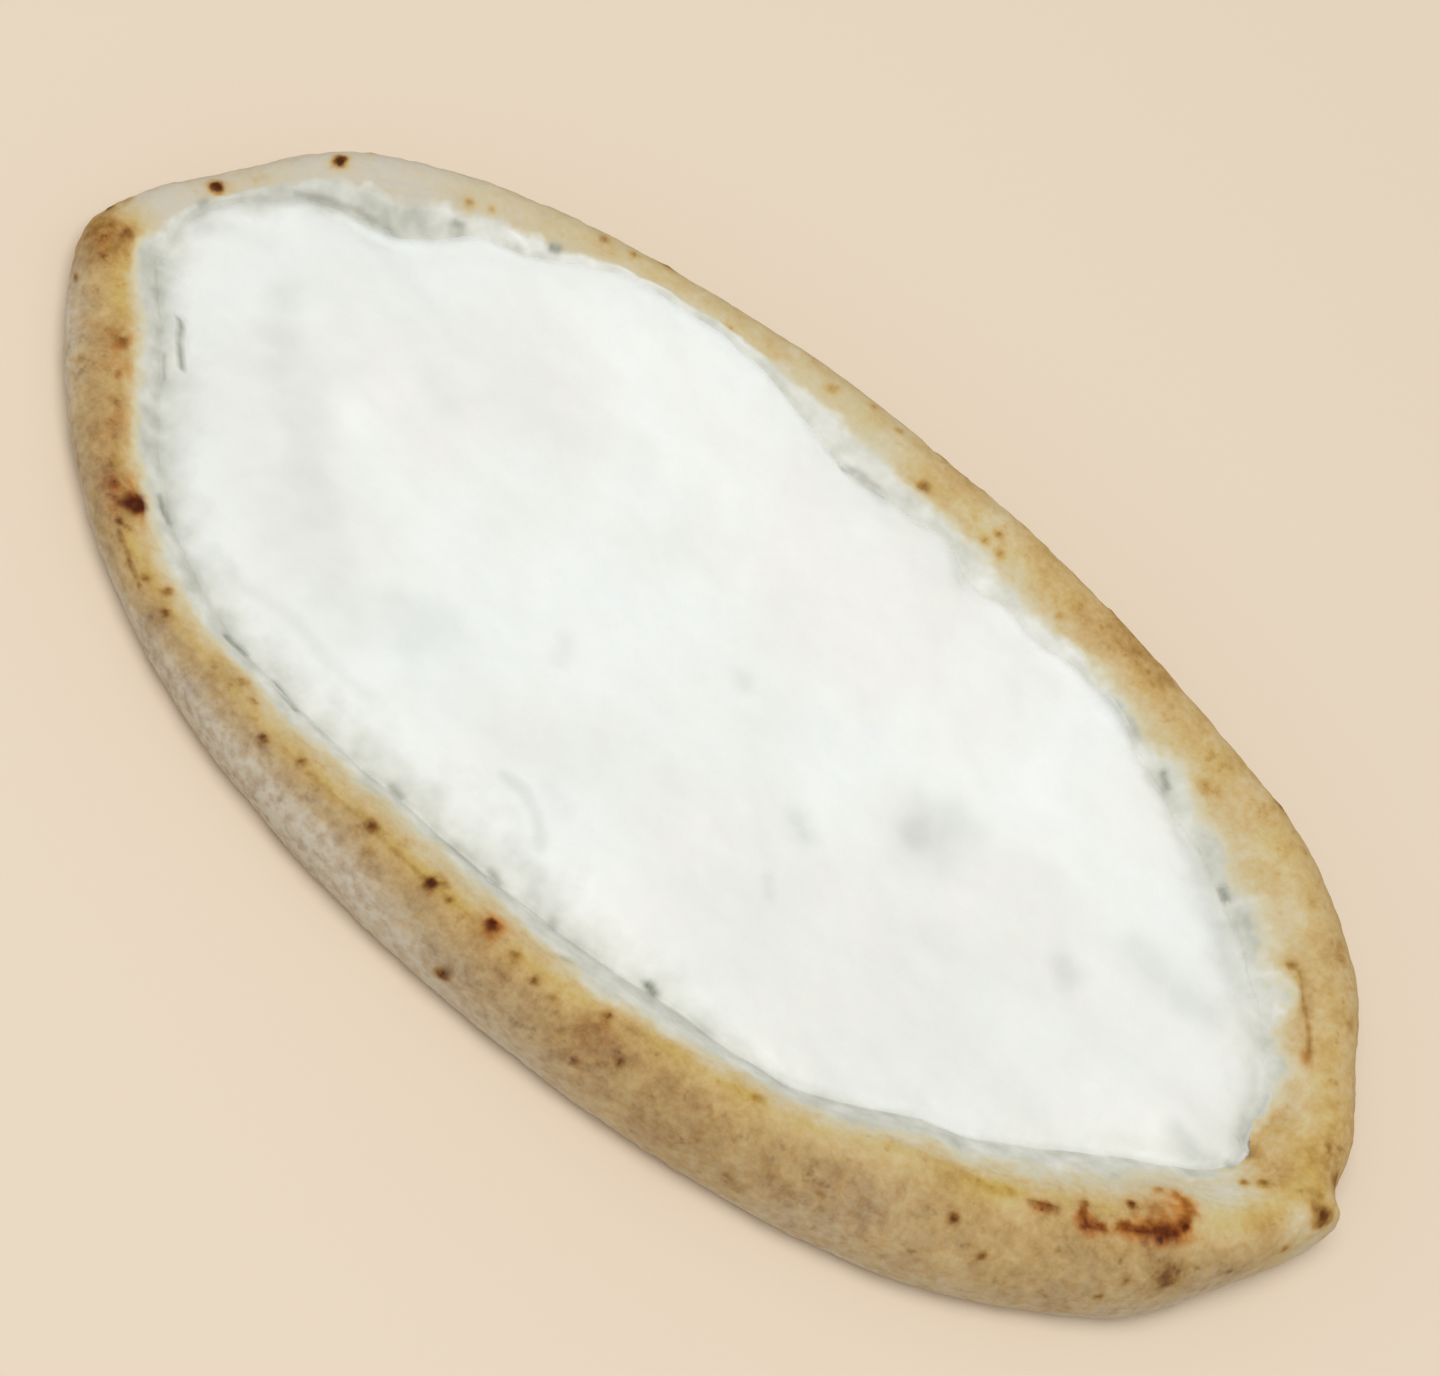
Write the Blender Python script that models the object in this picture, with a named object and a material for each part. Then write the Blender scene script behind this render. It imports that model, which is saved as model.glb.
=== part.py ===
"""A Turkish pide: a long boat of baked dough with a rolled rim, filled with soft white cheese.

The boat lies along X, with a pinched end at -X and one at +X. Y runs across it and Z is up from the flat
underside. Near means the -Y side and far the +Y side. Lengths are in metres, so a size given in
millimetres has * MM.
"""

import math

import bmesh
import bpy
from mathutils import Vector, noise

MM = 0.001

# Overall size of the bread in plan
LENGTH = 320 * MM
WIDTH = 162 * MM
OUTLINE_POWER = 2.8
END_POWER = 0.70

# A slice of the boat runs from its outline to the point of the middle line at this share of the same x
SLICE_AIM = 0.55

# How the hand-shaped boat varies round its rim, in mm, at sixteen stations: from the +X end over the far
# side to the -X end, and back along the near side
OUTLINE_SWELL_MM = (0.0, -1.0, 3.8, -1.8, 0.0, -1.2, 1.8, -1.0, 0.0, -3.2, -3.8, -2.4, 0.3, -0.9, 0.5, -1.0)
CREST_INSET_MM = (9.0, 9.0, 9.0, 8.7, 8.5, 7.0, 6.0, 6.0, 7.5, 8.5, 5.4, 8.4, 10.0, 13.4, 16.8, 12.0)
CREST_HEIGHT_MM = (
    20.0, 20.0, 19.5, 19.0, 18.5, 17.5, 16.5, 15.0, 14.0, 13.0, 13.0, 16.5, 20.0, 22.0, 22.5, 21.5,
)
FILLING_INSET_MM = (
    24.3, 20.0, 21.8, 16.8, 16.5, 8.9, 16.0, 9.5, 15.5, 17.6, 13.6, 18.3, 21.7, 22.8, 29.2, 26.7,
)
CREST_WANDER = 0.5 * MM
CREST_WAVES = 13.0
HEIGHT_WAVES = 11.0
LEAST_SLOPE = 1.5 * MM

# Where the hands left the outline fuller or pinched it in: angle and half width in degrees, then how far
# out the outline lies, in mm. The first two make the small nib at the +X end.
OUTLINE_LOBES = (
    (0.0, 2.5, 0.46),
    (7.0, 5.5, -2.9),
    (33.5, 6.5, 2.3),
    (56.0, 8.0, -1.6),
    (123.0, 8.0, -1.0),
    (146.0, 7.0, 2.4),
    (327.5, 7.0, 2.4),
)

# Lobes in the line of the rim's crest: angle and half width in degrees, then how much further in it
# lies, in mm
CREST_LOBES = (
    (202.0, 8.0, 2.0),
    (226.0, 8.0, -1.8),
    (256.0, 9.0, 0.9),
    (304.0, 5.0, 2.4),
    (341.0, 8.0, -3.2),
)

# Lobes in the filling's edge, in the same terms
EDGE_LOBES = (
    (6.0, 5.0, -1.0),
    (32.0, 7.0, 2.3),
    (61.0, 3.5, 0.3),
    (74.0, 3.0, 1.5),
    (80.0, 2.5, 1.6),
    (85.0, 2.5, -1.6),
    (94.0, 3.5, 1.8),
    (100.0, 4.0, 0.8),
    (122.0, 7.0, -1.5),
    (132.0, 4.0, -1.6),
    (142.5, 5.0, 4.2),
    (163.0, 7.0, -1.8),
    (195.0, 13.0, 1.4),
    (236.0, 8.0, -0.8),
    (281.0, 4.0, 0.9),
    (293.0, 4.0, -1.5),
    (307.0, 5.0, 1.8),
    (328.0, 8.0, 3.3),
    (347.5, 8.0, -4.2),
)
EDGE_WANDER = 1.0 * MM
EDGE_WAVES = 26.0

# The section of the dough
FOOT_INSET = 5.0 * MM
BELLY_HEIGHT = 7.0 * MM
WALL_FULLNESS = 0.85
FLOOR_THICKNESS = 6.0 * MM
INNER_SLOPE_RUN = 14.0 * MM
WALL_RELIEF = 0.5 * MM
WALL_RELIEF_SIZE = 22 * MM

# The filling
GAP = 0.35 * MM
EDGE_THICKNESS = 1.2 * MM
EDGE_ROUND = 3.0 * MM
FILLING_HEIGHT = 15.8 * MM
FILLING_RELIEF = 1.0 * MM
FILLING_RELIEF_SIZE = 38 * MM
LEVELLING_RUN = 0.30
SETTLING_SHARE = 1.0 / 6.0

# Hollows and swells in the filling's top: x, y, radius and rise, in mm
FILLING_PLACES = (
    (47.5, 9.0, 9.0, -1.5),
    (-114.0, 5.0, 11.0, -1.0),
    (-99.0, -8.0, 11.0, -0.9),
    (26.0, -9.0, 5.0, -0.6),
    (87.0, 4.0, 5.0, -0.6),
    (-45.0, -44.0, 12.0, 1.3),
    (-88.0, -28.0, 13.0, 1.2),
    (112.0, -12.0, 16.0, 0.9),
    (-60.0, 40.0, 20.0, 0.8),
)

# How finely the solids are drawn
AROUND = 144
FOOT_STEPS = 3
WALL_STEPS = 6
SLOPE_STEPS = 4
BED_STEPS = 3
ROUND_SHARES = (0.2, 0.55, 1.0)
TOP_SHARES = (0.88, 0.74, 0.59, 0.43, 0.27)

CRUST_COLOUR = (0.58, 0.39, 0.18, 1.0)
FILLING_COLOUR = (0.86, 0.88, 0.84, 1.0)


def smooth(share):
    """A share from 0 to 1, eased at both ends."""
    share = min(1.0, max(0.0, share))
    return share * share * (3.0 - 2.0 * share)


def round_the_boat(values, angle):
    """The value at this angle on a closed smooth curve through the stations' values."""
    count = len(values)
    place = angle / (2.0 * math.pi) * count
    first = math.floor(place)
    t = place - first
    before, here, after, last = (values[(first + k) % count] for k in (-1, 0, 1, 2))
    bend = 2 * before - 5 * here + 4 * after - last
    twist = 3 * (here - after) + last - before
    return here + 0.5 * t * (after - before + t * (bend + t * twist))


def wave(angle, waves, seed):
    """Even noise from -1 to 1 that closes on itself round the boat."""
    reach = waves / (2.0 * math.pi)
    return noise.noise(Vector((math.cos(angle) * reach, math.sin(angle) * reach, seed)))


def bump(distance, radius):
    """1 at the middle of a place and 0 a few radii away."""
    return math.exp(-((distance / radius) ** 2))


def lobes_at(lobes, angle):
    """How far these lobes push a line out or in at this angle."""
    pushed = 0.0
    for place, half_width, push in lobes:
        off = (math.degrees(angle) - place + 180.0) % 360.0 - 180.0
        pushed += push * MM * bump(off, half_width)
    return pushed


def towards_middle(edge):
    """The level direction from a point of the outline towards a point of the boat's middle line."""
    return (Vector((edge.x * SLICE_AIM, 0.0)) - edge).normalized()


def outline(angle):
    """The widest line of the bread in plan: a long oval that comes to a blunt point at each end."""
    along = math.cos(angle)
    half_width = WIDTH / 2 * (1.0 - min(1.0, abs(along) ** OUTLINE_POWER)) ** END_POWER
    half_width += round_the_boat(OUTLINE_SWELL_MM, angle) * MM
    edge = Vector((LENGTH / 2 * along, math.copysign(half_width, math.sin(angle))))
    return edge - towards_middle(edge) * lobes_at(OUTLINE_LOBES, angle)


def inward(angle):
    """The level direction in which the slice at this angle runs."""
    return towards_middle(outline(angle))


def crest(angle):
    """How far in from the outline the rim's crest lies, and how high."""
    inset = round_the_boat(CREST_INSET_MM, angle) * MM + CREST_WANDER * wave(angle, CREST_WAVES, 7.7)
    inset += lobes_at(CREST_LOBES, angle)
    height = round_the_boat(CREST_HEIGHT_MM, angle) * MM + CREST_WANDER * wave(angle, HEIGHT_WAVES, 1.3)
    return inset, height


def filling_inset(angle):
    """How far in from the outline the filling's uneven edge lies."""
    inset = round_the_boat(FILLING_INSET_MM, angle) * MM
    inset += EDGE_WANDER * wave(angle, EDGE_WAVES, 5.5) + lobes_at(EDGE_LOBES, angle)
    return max(inset, crest(angle)[0] + LEAST_SLOPE)


def slope_height(angle, inset):
    """Height of the dough inside the crest, down to the floor of the boat."""
    crest_inset, crest_height = crest(angle)
    foot = filling_inset(angle) + INNER_SLOPE_RUN
    share = smooth((inset - crest_inset) / (foot - crest_inset))
    return crest_height + (FLOOR_THICKNESS - crest_height) * share


def place_at(angle, inset, height):
    """The point this far in from the outline, at this height."""
    level = outline(angle) + inward(angle) * inset
    return Vector((level.x, level.y, height))


def outer_ring(angle, turn):
    """A point of the outer wall: turn is -90 at the foot, 0 at the belly and 90 at the crest."""
    crest_inset, crest_height = crest(angle)
    if turn < 0:
        across, up = math.cos(math.radians(turn)), math.sin(math.radians(turn))
        return place_at(angle, FOOT_INSET * (1.0 - across), BELLY_HEIGHT * (1.0 + up))
    across = math.cos(math.radians(turn)) ** WALL_FULLNESS
    up = math.sin(math.radians(turn)) ** WALL_FULLNESS
    height = BELLY_HEIGHT + (crest_height - BELLY_HEIGHT) * up
    point = place_at(angle, crest_inset * (1.0 - across), height)
    bulge = WALL_RELIEF * noise.noise(point / WALL_RELIEF_SIZE) * math.sin(math.radians(2 * turn))
    level = inward(angle) * bulge
    return point - Vector((level.x, level.y, -bulge / 2))


def bed_insets(angle):
    """Insets of the rings under the filling, from its edge down to the floor of the boat."""
    edge = filling_inset(angle)
    return [edge + INNER_SLOPE_RUN * step / BED_STEPS for step in range(BED_STEPS + 1)]


def crust_rings(angle):
    """The dough's section at this angle, from the foot up over the crest and down to the floor."""
    turns = [-90 + 90 * step / FOOT_STEPS for step in range(FOOT_STEPS)]
    turns += [90 * step / WALL_STEPS for step in range(WALL_STEPS + 1)]
    section = [outer_ring(angle, turn) for turn in turns]
    start, bed = crest(angle)[0], bed_insets(angle)
    slope = [start + (bed[0] - start) * step / SLOPE_STEPS for step in range(1, SLOPE_STEPS)]
    return section + [place_at(angle, inset, slope_height(angle, inset)) for inset in slope + bed]


def filling_level(angle, away):
    """Height of the filling this far in from its edge: a rounded lip, then an even rise to its own level."""
    edge = filling_inset(angle)
    edge_height = slope_height(angle, edge) + GAP
    lip = EDGE_THICKNESS * math.sqrt(1.0 - (1.0 - min(1.0, away / EDGE_ROUND)) ** 2)
    run = EDGE_ROUND + LEVELLING_RUN * place_at(angle, edge + EDGE_ROUND, 0.0).length
    share = 1.0 - (1.0 - min(1.0, away / run)) ** 2
    return edge_height + lip + (FILLING_HEIGHT - EDGE_THICKNESS - edge_height) * share


def filling_top(angle, share):
    """A point of the filling's top. share is 1 at the rounded edge and falls to 0 at the middle."""
    lip = place_at(angle, filling_inset(angle) + EDGE_ROUND, 0.0)
    point = lip * share
    height = filling_level(angle, EDGE_ROUND + lip.length * (1.0 - share))
    settled = smooth((1.0 - share) / SETTLING_SHARE)
    height += FILLING_RELIEF * noise.noise(point / FILLING_RELIEF_SIZE) * settled
    for x, y, radius, rise in FILLING_PLACES:
        off = math.hypot(point.x - x * MM, point.y - y * MM)
        height += rise * MM * bump(off, radius * MM)
    point.z = height
    return point


def filling_rings(angle):
    """The filling's section at this angle: along the dough to its edge, round that and back over the top."""
    bed = [place_at(angle, inset, slope_height(angle, inset) + GAP) for inset in reversed(bed_insets(angle))]
    edge, rounded = filling_inset(angle), []
    for share in ROUND_SHARES:
        away = EDGE_ROUND * share
        rounded.append(place_at(angle, edge + away, filling_level(angle, away)))
    return bed + rounded + [filling_top(angle, share) for share in TOP_SHARES]


def draw_out(name, rings, bottom, top, colour, roughness, parts):
    """Reshapes a sphere: its parallels become the section's rings, its poles the middle of the body."""
    count = len(rings(0.0))
    body = bmesh.new()
    bmesh.ops.create_uvsphere(body, u_segments=AROUND, v_segments=count + 1, radius=1.0)
    sections = {}
    for vert in body.verts:
        parallel = round((math.asin(max(-1.0, min(1.0, vert.co.z))) / math.pi + 0.5) * (count + 1))
        if parallel == 0:
            vert.co = bottom
        elif parallel == count + 1:
            vert.co = top
        else:
            meridian = round(math.atan2(vert.co.y, vert.co.x) / (2.0 * math.pi) * AROUND) % AROUND
            if meridian not in sections:
                sections[meridian] = rings(2.0 * math.pi * meridian / AROUND)
            vert.co = sections[meridian][parallel - 1]
    mesh = bpy.data.meshes.new(name)
    body.to_mesh(mesh)
    body.free()
    mesh.shade_smooth()
    material = bpy.data.materials.new(name)
    material.use_nodes = True
    surface = material.node_tree.nodes["Principled BSDF"]
    surface.inputs["Base Color"].default_value = colour
    surface.inputs["Roughness"].default_value = roughness
    mesh.materials.append(material)
    made = bpy.data.objects.new(name, mesh)
    parts.objects.link(made)
    return made


def centre_on_underside(crust, others):
    """Moves everything so that the middle of the crust's box in plan lies over the origin."""
    xs = [vert.co.x for vert in crust.data.vertices]
    ys = [vert.co.y for vert in crust.data.vertices]
    offset = Vector((-(min(xs) + max(xs)) / 2, -(min(ys) + max(ys)) / 2, 0.0))
    for made in (crust, *others):
        made.location = offset


def main():
    for old in list(bpy.data.objects):
        bpy.data.objects.remove(old)
    parts = bpy.data.collections.new("Turkish pide")
    bpy.context.scene.collection.children.link(parts)

    floor_middle = Vector((0.0, 0.0, FLOOR_THICKNESS))
    crust = draw_out("crust", crust_rings, Vector((0.0, 0.0, 0.0)), floor_middle, CRUST_COLOUR, 0.8, parts)
    bed_middle = Vector((0.0, 0.0, FLOOR_THICKNESS + GAP))
    top_middle = filling_top(0.0, 0.0)
    filling = draw_out("filling", filling_rings, bed_middle, top_middle, FILLING_COLOUR, 0.4, parts)
    centre_on_underside(crust, [filling])


main()
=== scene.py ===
# %% [markdown]
# # A Turkish pide
# This lesson dresses the plain solid model of a pide: a long boat of flatbread with a rolled rim and pinched
# ends, filled nearly to the rim with soft white cheese. The solid model gives the true size. Here the dough
# and the cheese are made again as fine skins, with bumps, blisters, oven spots and their own finishes.

# %% Load the solid model
import math
import random
from collections import namedtuple

import bpy
import numpy as np
from mathutils import Matrix, Vector, noise
from mathutils.bvhtree import BVHTree


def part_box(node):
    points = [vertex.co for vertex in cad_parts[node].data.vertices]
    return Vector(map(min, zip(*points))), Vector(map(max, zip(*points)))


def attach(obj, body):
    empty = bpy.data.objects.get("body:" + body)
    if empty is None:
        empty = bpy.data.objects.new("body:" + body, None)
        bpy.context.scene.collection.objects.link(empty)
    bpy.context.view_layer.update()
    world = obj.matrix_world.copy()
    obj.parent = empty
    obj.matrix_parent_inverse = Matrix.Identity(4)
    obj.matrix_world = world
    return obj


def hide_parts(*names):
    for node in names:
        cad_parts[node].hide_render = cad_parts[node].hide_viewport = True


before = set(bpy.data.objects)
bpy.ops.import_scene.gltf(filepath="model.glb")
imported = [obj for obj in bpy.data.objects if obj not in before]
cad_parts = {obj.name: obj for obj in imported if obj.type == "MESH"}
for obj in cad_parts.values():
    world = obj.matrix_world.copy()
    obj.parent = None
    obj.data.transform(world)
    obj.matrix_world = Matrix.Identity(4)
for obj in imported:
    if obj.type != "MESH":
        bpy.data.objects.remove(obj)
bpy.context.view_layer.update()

MM = 0.001
dough_low, dough_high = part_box("crust")

# %% [markdown]
# ## Looking down at the bread
# Oven spots are easiest to place where the eye sees them, so the viewpoint comes first. The bread is seen
# from steeply above, with its length running from upper left to lower right. A long lens a metre away keeps
# the near and the far rim almost the same size. A place in the view is then two lengths at the bread's own
# size: how far it lies along the boat and how far across it.

# %% The viewpoint
ELEVATION = math.radians(62.0)
ROLL = math.radians(39.1)
DISTANCE = 1.0
AIM = Vector((0.0, 0.0, 8 * MM))
TOWARDS_EYE = Vector((0.0, -math.cos(ELEVATION), math.sin(ELEVATION)))
ALONG_VIEW = Vector((1.0, 0.0, 0.0))
ACROSS_VIEW = Vector((0.0, math.sin(ELEVATION), math.cos(ELEVATION)))
EYE = AIM + DISTANCE * TOWARDS_EYE


def sight_line(along_mm, across_mm):
    """The direction from the eye through a place in the view."""
    return (AIM + (ALONG_VIEW * along_mm + ACROSS_VIEW * across_mm) * MM - EYE).normalized()


print("eye at", [round(c, 3) for c in EYE])

# %% [markdown]
# ## The shape of the boat
# The baker rolls an oval, folds its edge in all round and pinches the two ends. No two places of the rim are
# alike, so its height, its breadth and the cheese's edge are given at sixteen stations round the boat, from
# the +X end over the far side and back along the near side. A smooth closed curve joins them.

# %% Stations round the boat
LENGTH = 320 * MM
WIDTH = 162 * MM
OUTLINE_POWER = 2.8
END_POWER = 0.70
SLICE_AIM = 0.55
OUTLINE_SWELL_MM = (0.0, -1.0, 3.8, -1.8, 0.0, -1.2, 1.8, -1.0, 0.0, -3.2, -3.8, -2.4, 0.3, -0.9, 0.5, -1.0)
CREST_INSET_MM = (9.0, 9.0, 9.0, 8.7, 8.5, 7.0, 6.0, 6.0, 7.5, 8.5, 5.4, 8.4, 10.0, 13.4, 16.8, 12.0)
CREST_HEIGHT_MM = (
    20, 20, 19.5, 19, 18.5, 17.5, 16.5, 15, 14, 13, 13, 16.5, 20, 22, 22.5, 21.5,
)
FILLING_INSET_MM = (
    24.3, 20, 21.8, 16.8, 16.5, 8.9, 16, 9.5, 15.5, 17.6, 13.6, 18.3, 21.7, 22.8, 29.2, 26.7,
)


def round_the_boat(values, angle):
    """The value at this angle on a closed smooth curve through the stations' values."""
    count = len(values)
    place = angle / (2.0 * math.pi) * count
    first = math.floor(place)
    t = place - first
    before, here, after, last = (values[(first + k) % count] for k in (-1, 0, 1, 2))
    bend = 2 * before - 5 * here + 4 * after - last
    twist = 3 * (here - after) + last - before
    return here + 0.5 * t * (after - before + t * (bend + t * twist))


def wave(angle, waves, seed):
    """Even noise from -1 to 1 that closes on itself round the boat."""
    reach = waves / (2.0 * math.pi)
    return noise.noise(Vector((math.cos(angle) * reach, math.sin(angle) * reach, seed)))


def smooth(share):
    """A share from 0 to 1, eased at both ends."""
    share = min(1.0, max(0.0, share))
    return share * share * (3.0 - 2.0 * share)


def bump(distance, radius):
    """1 at the middle of a place and 0 a few radii away."""
    return math.exp(-((distance / radius) ** 2))


# %% [markdown]
# ## Lobes
# Hands don't leave smooth curves. Between the stations the outline, the crest and the cheese's edge have
# small lobes: each has its angle and half its width in degrees, then how far it pushes the line in
# millimetres. The outline's first two make the small nib at the +X end.

# %% Lobes of each line
OUTLINE_LOBES = (
    (0, 2.5, 0.46), (7, 5.5, -2.9), (33.5, 6.5, 2.3), (56, 8, -1.6), (123, 8, -1),
    (146, 7, 2.4), (327.5, 7, 2.4),
)
CREST_LOBES = (
    (202, 8, 2), (226, 8, -1.8), (256, 9, 0.9), (304, 5, 2.4), (341, 8, -3.2),
)
EDGE_LOBES = (
    (6, 5, -1), (32, 7, 2.3), (61, 3.5, 0.3), (74, 3, 1.5), (80, 2.5, 1.6),
    (85, 2.5, -1.6), (94, 3.5, 1.8), (100, 4, 0.8), (122, 7, -1.5), (132, 4, -1.6),
    (142.5, 5, 4.2), (163, 7, -1.8), (195, 13, 1.4), (236, 8, -0.8), (281, 4, 0.9),
    (293, 4, -1.5), (307, 5, 1.8), (328, 8, 3.3), (347.5, 8, -4.2),
)


def turn_from(angle, place):
    """How many degrees the angle lies past the place, the short way round."""
    return (np.degrees(angle) - place + 180.0) % 360.0 - 180.0


def lobes_at(lobes, angle):
    """How far these lobes push a line out or in at this angle."""
    return sum(push * MM * bump(turn_from(angle, place), half_width) for place, half_width, push in lobes)


print("lobes:", len(OUTLINE_LOBES), "outline,", len(CREST_LOBES), "crest,", len(EDGE_LOBES), "cheese's edge")

# %% [markdown]
# ## One slice of the rim
# Cut the boat at any angle and the slice has the same parts: the outline in plan, the crest of the rim and
# the cheese's edge. A fine unevenness makes the cheese's edge look spooned in by hand.

# %% The slice at an angle
CREST_WANDER = 0.5 * MM
CREST_WAVES, CREST_SEED = 13.0, 7.7
HEIGHT_WAVES, HEIGHT_SEED = 11.0, 1.3
EDGE_WANDERS = ((26.0, 1.0, 5.5), (80.0, 0.7, 9.2), (170.0, 0.25, 2.8))
LEAST_SLOPE = 1.5 * MM
Slice = namedtuple("Slice", "angle edge inwards crest_inset crest_height steady_inset filling_inset")


def towards_middle(edge):
    """The level direction from a point of the outline towards a point of the boat's middle line."""
    return (Vector((edge.x * SLICE_AIM, 0.0)) - edge).normalized()


def outline(angle):
    """The widest line of the bread in plan: a long oval that comes to a blunt point at each end."""
    along = math.cos(angle)
    half_width = WIDTH / 2 * (1.0 - min(1.0, abs(along) ** OUTLINE_POWER)) ** END_POWER
    half_width += round_the_boat(OUTLINE_SWELL_MM, angle) * MM
    edge = Vector((LENGTH / 2 * along, math.copysign(half_width, math.sin(angle))))
    return edge - towards_middle(edge) * lobes_at(OUTLINE_LOBES, angle)


def slice_at(angle):
    """All that the boat's shape needs to know at this angle."""
    edge = outline(angle)
    crest_inset = round_the_boat(CREST_INSET_MM, angle) * MM + lobes_at(CREST_LOBES, angle)
    crest_inset += CREST_WANDER * wave(angle, CREST_WAVES, CREST_SEED)
    crest_height = round_the_boat(CREST_HEIGHT_MM, angle) * MM
    crest_height += CREST_WANDER * wave(angle, HEIGHT_WAVES, HEIGHT_SEED)
    steady = round_the_boat(FILLING_INSET_MM, angle) * MM + lobes_at(EDGE_LOBES, angle)
    wander = sum(reach * MM * wave(angle, waves, seed) for waves, reach, seed in EDGE_WANDERS)
    insets = [max(inset, crest_inset + LEAST_SLOPE) for inset in (steady, steady + wander)]
    return Slice(angle, edge, towards_middle(edge), crest_inset, crest_height, *insets)


AROUND = 900
slices = [slice_at(2.0 * math.pi * step / AROUND) for step in range(AROUND)]
print("rim crest from", round(min(s.crest_height for s in slices) / MM, 1), "to",
      round(max(s.crest_height for s in slices) / MM, 1), "mm high")

# %% [markdown]
# ## The dough's skin
# One number says where a point lies on a slice: -1 at the foot, 0 at the belly, 1 on the crest, 2 at the
# cheese's edge and 3 on the floor under the cheese. The outer wall is a plump arc, and the inner side runs
# down smoothly. Naming the level like this pays off later, because the oven's colours follow it too.

# %% A point of the dough
FOOT_INSET = 5.0 * MM
BELLY_HEIGHT = 7.0 * MM
WALL_FULLNESS = 0.85
FLOOR_THICKNESS = 6.0 * MM
INNER_SLOPE_RUN = 14.0 * MM
WALL_RELIEF = 0.5 * MM
WALL_RELIEF_SIZE = 22 * MM


def place_at(cut, inset, height):
    """The point this far in from the outline, at this height."""
    level = cut.edge + cut.inwards * inset
    return Vector((level.x, level.y, height))


def slope_height(cut, inset):
    """Height of the dough inside the crest, down to the floor of the boat."""
    foot = cut.steady_inset + INNER_SLOPE_RUN
    share = smooth((inset - cut.crest_inset) / (foot - cut.crest_inset))
    return cut.crest_height + (FLOOR_THICKNESS - cut.crest_height) * share


def dough_point(cut, level):
    """A point of the dough's skin on this slice."""
    if level > 1.0:
        run = cut.filling_inset - cut.crest_inset if level < 2.0 else INNER_SLOPE_RUN
        start = cut.crest_inset if level < 2.0 else cut.filling_inset
        inset = start + run * (level - (1.0 if level < 2.0 else 2.0))
        return place_at(cut, inset, slope_height(cut, inset))
    turn = math.radians(90.0 * level)
    if level < 0.0:
        return place_at(cut, FOOT_INSET * (1.0 - math.cos(turn)), BELLY_HEIGHT * (1.0 + math.sin(turn)))
    across, up = math.cos(turn) ** WALL_FULLNESS, math.sin(turn) ** WALL_FULLNESS
    height = BELLY_HEIGHT + (cut.crest_height - BELLY_HEIGHT) * up
    point = place_at(cut, cut.crest_inset * (1.0 - across), height)
    bulge = WALL_RELIEF * noise.noise(point / WALL_RELIEF_SIZE) * math.sin(2 * turn)
    return point - Vector((cut.inwards.x * bulge, cut.inwards.y * bulge, -bulge / 2))


# %% [markdown]
# ## From slices to a skin
# Rows of points run round the boat, one row above the other, and quads join each row to the next. The rows
# lie close together where the eye goes, on the wall, the crest and the inner slope, and far apart under the
# cheese. A point at each end of the stack closes the skin, so it stays one solid body.

# %% Join rows into a closed skin
def closed_skin(name, rows, bottom, top):
    """A closed mesh from rows of points that each run once round the boat."""
    points = [bottom] + [point for row in rows for point in row] + [top]
    last = len(points) - 1
    faces = []
    for k in range(AROUND):
        after = (k + 1) % AROUND
        faces.append((0, 1 + after, 1 + k))
        for row in range(len(rows) - 1):
            low, high = 1 + row * AROUND, 1 + (row + 1) * AROUND
            faces.append((low + k, low + after, high + after, high + k))
        start = 1 + (len(rows) - 1) * AROUND
        faces.append((start + k, start + after, last))
    mesh = bpy.data.meshes.new(name)
    mesh.from_pydata(points, [], faces)
    mesh.shade_smooth()
    made = bpy.data.objects.new(name, mesh)
    bpy.context.scene.collection.objects.link(made)
    print(name, len(points), "points")
    return made


def points_of(made):
    """The mesh's points as an array, one row of x, y and z each."""
    flat = np.empty(len(made.data.vertices) * 3)
    made.data.vertices.foreach_get("co", flat)
    return flat.reshape(-1, 3)


def normals_of(made):
    """The direction that the skin faces at each point."""
    flat = np.empty(len(made.data.vertices) * 3)
    made.data.vertex_normals.foreach_get("vector", flat)
    return flat.reshape(-1, 3)


def set_points(made, points):
    """Moves the mesh's points."""
    made.data.vertices.foreach_set("co", points.astype(np.float32).ravel())
    made.data.update()


# %% The dough before it's baked
UNDER_ROWS, FOOT_ROWS, WALL_ROWS, SLOPE_ROWS = 14, 8, 32, 24
INNERMOST = 0.06
BED_LEVELS = [2.15, 2.5, 3.0]
SKIN_LEVELS = [-1.0 + row / FOOT_ROWS for row in range(FOOT_ROWS)]
SKIN_LEVELS += [row / WALL_ROWS for row in range(WALL_ROWS + 1)]
SKIN_LEVELS += [1.0 + row / SLOPE_ROWS for row in range(1, SLOPE_ROWS + 1)] + BED_LEVELS

foot = [dough_point(cut, -1.0) for cut in slices]
rows = []
for row in range(UNDER_ROWS):
    share = INNERMOST + (1.0 - INNERMOST) * row / UNDER_ROWS
    rows.append([Vector((point.x * share, point.y * share, 0.0)) for point in foot])
rows += [[dough_point(cut, level) for cut in slices] for level in SKIN_LEVELS]
crust = closed_skin("pide_crust", rows, Vector((0, 0, 0)), Vector((0, 0, FLOOR_THICKNESS)))
row_levels = [-1.0] * UNDER_ROWS + SKIN_LEVELS
crust_levels = np.array([-1.0] + [level for level in row_levels for _ in slices] + [3.0])
crust_angles = np.array([0.0] + [cut.angle for _ in rows for cut in slices] + [0.0])

# %% [markdown]
# ## Centre the bread
# The solid model stands with the middle of its box over the origin. The fine skin is moved by the same
# rule, so the two lie in the same place.

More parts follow.
